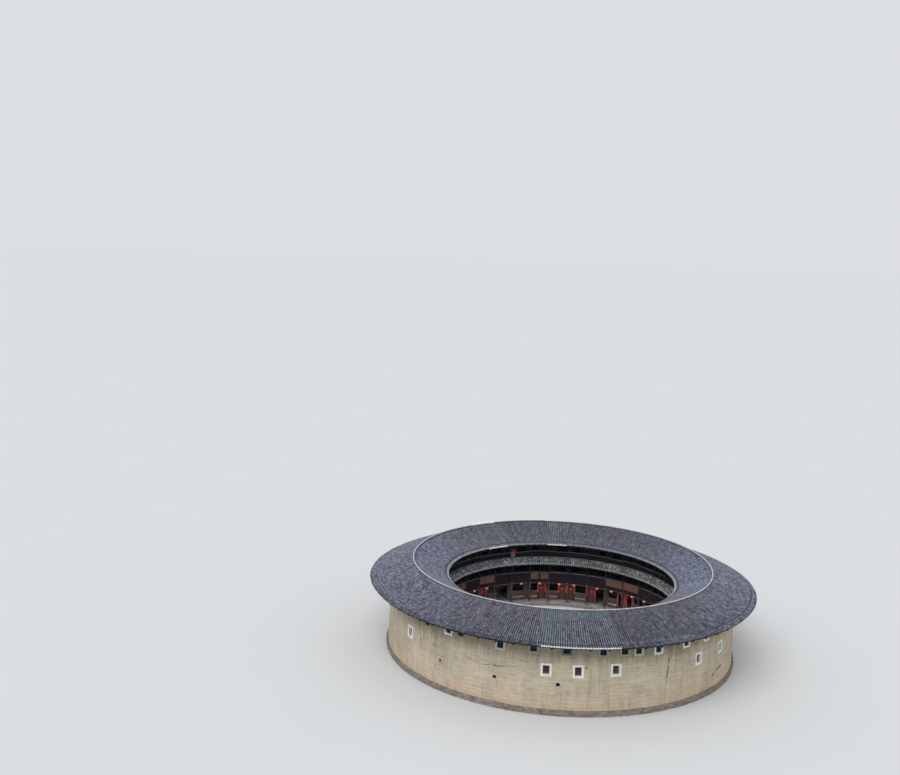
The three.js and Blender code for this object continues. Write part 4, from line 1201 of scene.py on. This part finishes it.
# Round ends of the floor poles show below the parapet boards, and a drying pole hangs in most bays.
poleEnd = {"perBay": 8, "size": 0.11, "length": 0.16, "below": 0.13, "out": 0.11}
dryingPole = {"size": 0.06, "level": 7.12, "skip": 0.12, "short": 0.05, "out": 0.16}
endPattern = pole("pole_end_pattern", poleEnd["size"], poleEnd["length"], 8)
layRings("floor_pole_ends", endPattern, "wornTimber", "timber", 36 * poleEnd["perBay"],
         postFace - poleEnd["out"], parapet["floor2"][0] - poleEnd["below"], first=bay / poleEnd["perBay"] / 2,
         loose=(0.01, 0.01, 0.006), grow=0.12, seed=140)
poles = emptyShell()
for middle in bayMiddles:
    if draw.random() > dryingPole["skip"]:
        half, level = postChord / 2 - dryingPole["short"], dryingPole["level"] + draw.uniform(-0.06, 0.06)
        face = postFace - dryingPole["out"]
        slab(poles, middle, (-half, half), (face, face + dryingPole["size"]),
             (level, level + dryingPole["size"]),
             Matrix.Rotation(math.radians(draw.uniform(-0.4, 0.4)), 3, "Y"))
makePiece("drying_poles", poles, "wornTimber", "timber")

plinth = {"radius": 0.19, "height": 0.2, "sides": 12, "profile": ((0.86, 0), (1, 0.3), (1, 0.7), (0.8, 1))}
plinths = emptyShell()
for post in range(0, 360, bay):
    profile = [(plinth["radius"] * share, levels["paving"] + plinth["height"] * rise)
               for share, rise in plinth["profile"]]
    addRound(plinths, spot(radii["post"], post, 0), profile, plinth["sides"])
makePiece("post_plinths", plinths, "granite", "granite")
print("galleries boarded")

# Rooms: frames, planks, window bars and sills in the front walls of all three storeys.
doorSize = {"width": 0.78, "head": 2.2, "sill": 0.26}
hingedDoors = {"door_leaf_1": (-34, -1), "door_leaf_2": (-2.9, 1), "door_leaf_3": (7.2, 1),
               "door_leaf_4": (11.4, -1), "door_leaf_5": (21.2, -1)}
openDoors = [36.7, 41.3]
courtWindows = {-28.2: 0.9, -15: 1.6, -7.2: 1.1, 2.4: 1.3, 16.2: 1.5, 32.6: 1.2}
courtWindow = {"low": 1.34, "high": 2.2, "width": 1.2, "barsPerMetre": 7.5}
sill = {"wider": 0.1, "deep": 0.09, "thick": 0.08}
bench = {"wider": 0.04, "deep": 0.37, "top": 0.58, "slab": 0.05}
upperDoor = {"width": 0.76, "low": 0.1, "high": 2}
upperWindow = {"width": 0.9, "low": 1, "high": 1.9, "bars": 7}
frameTimber = {"wide": 0.09, "proud": 0.035, "sillDeep": 0.04, "sillThick": 0.07}
windowBar = {"half": 0.018, "in": (0.05, 0.085)}
plank = {"perDoor": 4, "thick": 0.018, "gap": 0.006, "clear": 0.01, "in": 0.1}


# Doors stand beside every other post, and windows away from them, as in the walls themselves.
def fixedDoorBearings(first, last):
    return [b for post in range(0, 361, 20) for b in (post - 2.1, post + 2.1) if first < b < last]


def windowBearing(middle):
    return middle + (1.6 if round((middle - bay / 2) / bay) % 2 == 0 else -1.6)


courtWindows |= {windowBearing(middle): courtWindow["width"] for middle in range(45, 325, bay)}


# A slab at the front wall: x from the bearing, and y from the wall's face into the room.
def wallSlab(shell, bearing, x, y, z, place=None):
    middle = alongBay(bearing)
    slab(shell, bayMiddle(bearing), [middle + a for a in x], [wallFace + b for b in y], z, place)


def frameRound(shell, bearing, width, low, high, hasSill=False):
    half, wide, y = width / 2, frameTimber["wide"], (-frameTimber["proud"], -0.001)
    for x, z in (((-half - wide, -half), (low, high + wide)), ((half, half + wide), (low, high + wide)),
                 ((-half, half), (high, high + wide))):
        wallSlab(shell, bearing, x, y, z)
    if hasSill:
        wallSlab(shell, bearing, (-half - wide, half + wide), (y[0] - frameTimber["sillDeep"], y[1]),
                 (low - frameTimber["sillThick"], low - 0.001))


def barsAcross(shell, bearing, width, low, high, count):
    for x in (width * (i / (count + 1) - 0.5) for i in range(1, count + 1)):
        wallSlab(shell, bearing, (x - windowBar["half"], x + windowBar["half"]), windowBar["in"], (low, high))


def planksIn(shell, bearing, width, low, high, back):
    wide = width / plank["perDoor"]
    for i in range(plank["perDoor"]):
        x = i * wide - width / 2
        wallSlab(shell, bearing, (x + plank["gap"], x + wide - plank["gap"]),
                 (back - plank["thick"] + draw.uniform(-0.003, 0.003), back - 0.001), (low, high))


def shutDoor(bearing, width, low, high):
    clear = plank["clear"]
    frameRound(frames, bearing, width, low, high)
    planksIn(planks, bearing, width - 2 * clear, low + clear, high - clear, plank["in"])


frames, lattice, planks, sills, benches = (emptyShell() for _ in range(5))
for bearing in fixedDoorBearings(51.5, 324.5):
    shutDoor(bearing, doorSize["width"], doorSize["sill"], doorSize["head"])
for bearing, _ in hingedDoors.values():
    frameRound(frames, bearing, doorSize["width"] + 0.012, levels["paving"] + 0.01, doorSize["head"] + 0.006)
for bearing, width in courtWindows.items():
    low, high = courtWindow["low"], courtWindow["high"]
    frameRound(frames, bearing, width, low, high)
    barsAcross(lattice, bearing, width, low, high, round(width * courtWindow["barsPerMetre"]))
    for shell, size, z in ((sills, sill, (low - sill["thick"], low - 0.001)),
                           (benches, bench, (bench["top"] + 0.001, bench["top"] + bench["slab"]))):
        half = width / 2 + size["wider"]
        wallSlab(shell, bearing, (-half, half), (-size["deep"], -0.001), z)
for floorLevel in (levels["floor2"], levels["floor3"]):
    for bearing in fixedDoorBearings(0, 360):
        shutDoor(bearing, upperDoor["width"], floorLevel + upperDoor["low"], floorLevel + upperDoor["high"])
    for bearing in map(windowBearing, range(5, 360, bay)):
        low, high = floorLevel + upperWindow["low"], floorLevel + upperWindow["high"]
        opening = (bearing, upperWindow["width"], low, high)
        frameRound(frames, *opening, hasSill=True)
        barsAcross(lattice, *opening, upperWindow["bars"])
for name, shell, look, slotName in (
    ("room_frames", frames, "timber", "timber"), ("room_window_bars", lattice, "timber", "timber"),
    ("room_door_planks", planks, "oldLeaf", "leaf"), ("court_window_sills", sills, "granite", "granite"),
    ("bench_slabs", benches, "bench", "granite"),
):
    makePiece(name, shell, look, slotName)
print("rooms fitted")

# Doors that turn: planks on the face, ledges behind and an iron ring, all on the leaf's own body.
leafDetail = {"setback": 0.095, "thick": 0.05, "clear": 0.06, "edge": 0.03, "face": 0.071}
ledge = {"shares": (0.18, 0.78), "half": 0.29, "proud": 0.03, "high": 0.1}
ring = {"aside": 0.22, "plate": 0.03, "half": 0.045, "thick": 0.012, "proud": 0.03, "plateAt": (1.14, 1.26),
        "sidesAt": (1.06, 1.2), "footAt": (1.04, 1.06)}
for name, (bearing, hinge) in hingedDoors.items():
    low, high = (corner.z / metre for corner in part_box(name))
    low, high = low + leafDetail["edge"], high - leafDetail["edge"]
    leaf, pull = emptyShell(), emptyShell()
    planksIn(leaf, bearing, doorSize["width"] - 2 * leafDetail["clear"], low, high, leafDetail["setback"])
    back = leafDetail["setback"] + leafDetail["thick"]
    for level in (low + (high - low) * share for share in ledge["shares"]):
        wallSlab(leaf, bearing, (-ledge["half"], ledge["half"]), (back + 0.001, back + ledge["proud"]),
                 (level, level + ledge["high"]))
    makePiece(f"{name}_planks", leaf, "leaf", "leaf", f"{name}_body")
    x, face = -hinge * ring["aside"], leafDetail["face"]
    plate, half, front = ring["plate"], ring["half"], face - ring["thick"]
    for left, right, deep, heights in (
        (-plate, plate, (front, face), ring["plateAt"]),
        (-half, -plate, (face - ring["proud"], front), ring["sidesAt"]),
        (plate, half, (face - ring["proud"], front), ring["sidesAt"]),
        (-half, half, (face - ring["proud"], front), ring["footAt"]),
    ):
        wallSlab(pull, bearing, (x + left, x + right), deep, heights)
    makePiece(f"{name}_pull", pull, "iron", "leaf", f"{name}_body")
print("door leaves planked")

# Plain red papers: strips beside the turning doors and the open doorways, one over each, and a square
# on each leaf. A board with a paper hangs on one post.
strip = {"wide": 0.18, "gap": 0.005, "low": 1.12, "high": 2.18, "proud": 0.008, "over": (0.012, 0.092)}
square = {"size": 0.43, "level": 1.7, "thick": 0.006}
board = {"bearing": -20, "half": 0.32, "in": 0.2, "thick": 0.03, "low": 6.45, "middle": 7.16,
         "gap": 0.01, "top": 7.56}
papers, redFrames, half = emptyShell(), emptyShell(), doorSize["width"] / 2
front = -frameTimber["proud"]
for bearing in [b for b, _ in hingedDoors.values()] + openDoors:
    for sign in (-1, 1):
        x = sign * (half + strip["wide"] / 2 + strip["gap"])
        wallSlab(papers, bearing, (x - strip["wide"] / 2, x + strip["wide"] / 2),
                 (front - strip["proud"], front - 0.001),
                 (strip["low"] + draw.uniform(-0.05, 0.05), strip["high"]))
    wallSlab(papers, bearing, (-half - 0.002, half + 0.002), (front - strip["proud"], front - 0.001),
             [doorSize["head"] + above for above in strip["over"]])
makePiece("door_papers", papers, "redPaper", "red_paper")
for name, low, high, look, slotName in (
    ("post_board", board["low"], board["middle"], "wornTimber", "boards"),
    ("post_board_paper", board["middle"] + board["gap"], board["top"], "fadedRed", "red_paper"),
):
    face = radii["post"] - board["in"]
    shell = slab(emptyShell(), board["bearing"], (-board["half"], board["half"]),
                 (face, face + board["thick"]), (low, high))
    makePiece(name, shell, look, slotName)
for name, (bearing, _) in hingedDoors.items():
    side, face = (-square["size"] / 2, square["size"] / 2), wallFace + leafDetail["face"]
    centre = Matrix.Translation((alongBay(bearing), 0, square["level"]))
    tilted = centre @ Matrix.Rotation(math.radians(45), 4, "Y")
    paper = slab(emptyShell(), bayMiddle(bearing), side, (face - square["thick"], face - 0.001), side, tilted)
    makePiece(f"{name}_paper", paper, "redPaper", "red_paper", f"{name}_body")
for bearing in openDoors:
    frameRound(redFrames, bearing, doorSize["width"], doorSize["sill"], doorSize["head"])
makePiece("open_door_frames", redFrames, "redPaper", "red_paper")

# Lanterns hang under the edge of the second floor, about one to a bay.
lantern = {"radius": 0.19, "height": 0.28, "sides": 12, "rings": 6, "at": 14.1, "level": 2.84, "top": 3.04,
           "tassel": 0.12}
lanternBearings = [-44.8, -36, -15.1, -5, 5.6, 13.4, 26.1, 34.3, 47, 55.3]
lanternBearings += [middle + draw.uniform(-1.2, 1.2) for middle in range(75, 310, bay)]
lanterns, fittings = emptyShell(), emptyShell()
curve = [math.pi * (0.12 + 0.76 * tier / lantern["rings"]) for tier in range(lantern["rings"] + 1)]
profile = [(lantern["radius"] * math.sin(angle), -lantern["height"] / 2 * math.cos(angle)) for angle in curve]
for bearing in lanternBearings:
    centre = spot(lantern["at"], bearing, lantern["level"] + draw.uniform(-0.04, 0.04))
    addRound(lanterns, centre, profile, lantern["sides"])
    top, foot = (centre.z / metre + sign * lantern["height"] / 2 for sign in (1, -1))
    for half, low, high in ((0.06, top - 0.03, top + 0.01), (0.006, top, lantern["top"]),
                            (0.02, foot - lantern["tassel"], foot + 0.03)):
        slab(fittings, bearing, (-half, half), (lantern["at"] - half, lantern["at"] + half), (low, high))
makePiece("lanterns", lanterns, "lantern", "lantern")
makePiece("lantern_fittings", fittings, "iron", "lantern")
print("lanterns hung")

# Gate: dressed blocks round the way through, and planks on the two open leaves.
gateFrame = {"half": 0.95, "jamb": 0.3, "head": 2.6, "lintel": 0.35, "face": 20.57, "proud": 0.03,
             "foot": 0.02, "blocks": (0.62, 0.44, 0.58, 0.46, 0.46), "side": 0.012, "joint": 0.01}
gatePlank = {"in": 0.968, "out": 0.95, "from": 18.28, "wide": 0.184, "count": 5, "gap": 0.008,
             "z": (0.2, 2.54)}
blocks, gatePlanks = emptyShell(), emptyShell()
y = (gateFrame["face"] + 0.001, gateFrame["face"] + gateFrame["proud"])
edge, joint = gateFrame["half"] + gateFrame["jamb"], gateFrame["joint"]
for sign in (-1, 1):
    near, far = sorted((sign * gateFrame["half"], sign * edge))
    low = gateFrame["foot"]
    for height in gateFrame["blocks"]:
        slab(blocks, gate["bearing"], (near + gateFrame["side"], far - gateFrame["side"]), y,
             (low + joint, low + height - joint))
        low += height
head = gateFrame["head"]
slab(blocks, gate["bearing"], (-edge, edge), y, (head + joint, head + gateFrame["lintel"] - joint))
makePiece("gate_blocks", blocks, "granite", "granite")
for sign in (-1, 1):
    for i in range(gatePlank["count"]):
        near, wide = gatePlank["from"] + i * gatePlank["wide"], gatePlank["wide"] - gatePlank["gap"]
        x = sorted((sign * gatePlank["in"], sign * gatePlank["out"]))
        slab(gatePlanks, gate["bearing"], x, (near, near + wide), gatePlank["z"])
makePiece("gate_planks", gatePlanks, "leaf", "leaf")
print("gate dressed")

# Finishes of the model's own nodes.
nodeFinishes = {
    "stone_footing": "rubble", "gate_frame": "granite", "gate_leaf": "leaf", "ground_floor": "paving",
    "floor_": "floorBoards", "front_wall": "roomBoards", "wall_over_doors": "roomBoards", "door_leaf": "leaf",
    "rooms_": "boards", "gallery_frame": "posts", "skirt_roof": "underRoof", "outer_roof": "underRoof",
    "inner_roof": "underRoof", "ridge": "ridgeBed", "earth_wall": "earth", "upper_wall": "earth",
}
for name, solid in cadNodes.items():
    look = next(value for start, value in nodeFinishes.items() if name.startswith(start))
    solid.data.materials.clear()
    solid.data.materials.append(finishes[look])
for made in patterns:
    bpy.data.objects.remove(made)

# Studio: a wide pale floor, an even sky and one soft lamp.
studio = {"floorRadius": 1500, "floorSides": 64, "floorLevel": -0.002, "floor": (211, 212, 213),
          "clouds": (204, 205, 205), "sky": (0.8, 0.82, 0.84), "skyStrength": 0.9, "lampStrength": 1.5,
          "lampSpread": 50, "lampTilt": (38, 0, -28)}


def paleFloor(tree):
    tree.colour = shade(*studio["floor"])
    return tree.paint(shade(*studio["clouds"]), 0.1, "mottle", scale=0.2, detail=3, low=0.3, high=0.7), 0.0


sides = studio["floorSides"]
rim = [spot(studio["floorRadius"], 360 * i / sides, studio["floorLevel"]) for i in range(sides)]
floorShell = addSolid(emptyShell(), rim, [tuple(range(sides))[::-1]])
floor = addObject("studio_floor", meshOf("studio_floor", floorShell))
floor.data.materials.append(finish("studio_paint", paleFloor, roughness=0.95, specular=0.1))
floor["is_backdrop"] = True

world = bpy.data.worlds.new("studio_sky")
bpy.context.scene.world = world
world.use_nodes = True
world.node_tree.nodes["Background"].inputs["Color"].default_value = (*studio["sky"], 1)
world.node_tree.nodes["Background"].inputs["Strength"].default_value = studio["skyStrength"]
lamp = addObject("soft_lamp", bpy.data.lights.new("soft_lamp", "SUN"))
lamp.data.energy = studio["lampStrength"]
lamp.data.angle = math.radians(studio["lampSpread"])
lamp.rotation_euler = [math.radians(angle) for angle in studio["lampTilt"]]

# Camera: from the near side, above the roof, as the photograph was taken.
view = {"place": (-6.954, -65.096, 24.895), "lens": 45.2, "sensor": 36, "down": 8.343, "roll": 1.831,
        "reach": 4000}
camera = addObject("camera", bpy.data.cameras.new("camera"))
camera.data.sensor_width = view["sensor"]
camera.data.lens = view["lens"]
camera.data.clip_end = view["reach"]
tilt = Matrix.Rotation(math.radians(90 - view["down"]), 4, "X")
roll = Matrix.Rotation(math.radians(view["roll"]), 4, "Z")
camera.matrix_world = Matrix.Translation(view["place"]) @ tilt @ roll
bpy.context.scene.camera = camera
bpy.context.scene.view_settings.view_transform = "Standard"

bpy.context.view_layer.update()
made = [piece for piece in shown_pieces() if piece.type == "MESH"]
print("pieces made,", sum(len(piece.data.loop_triangles) or len(piece.data.polygons) for piece in made))
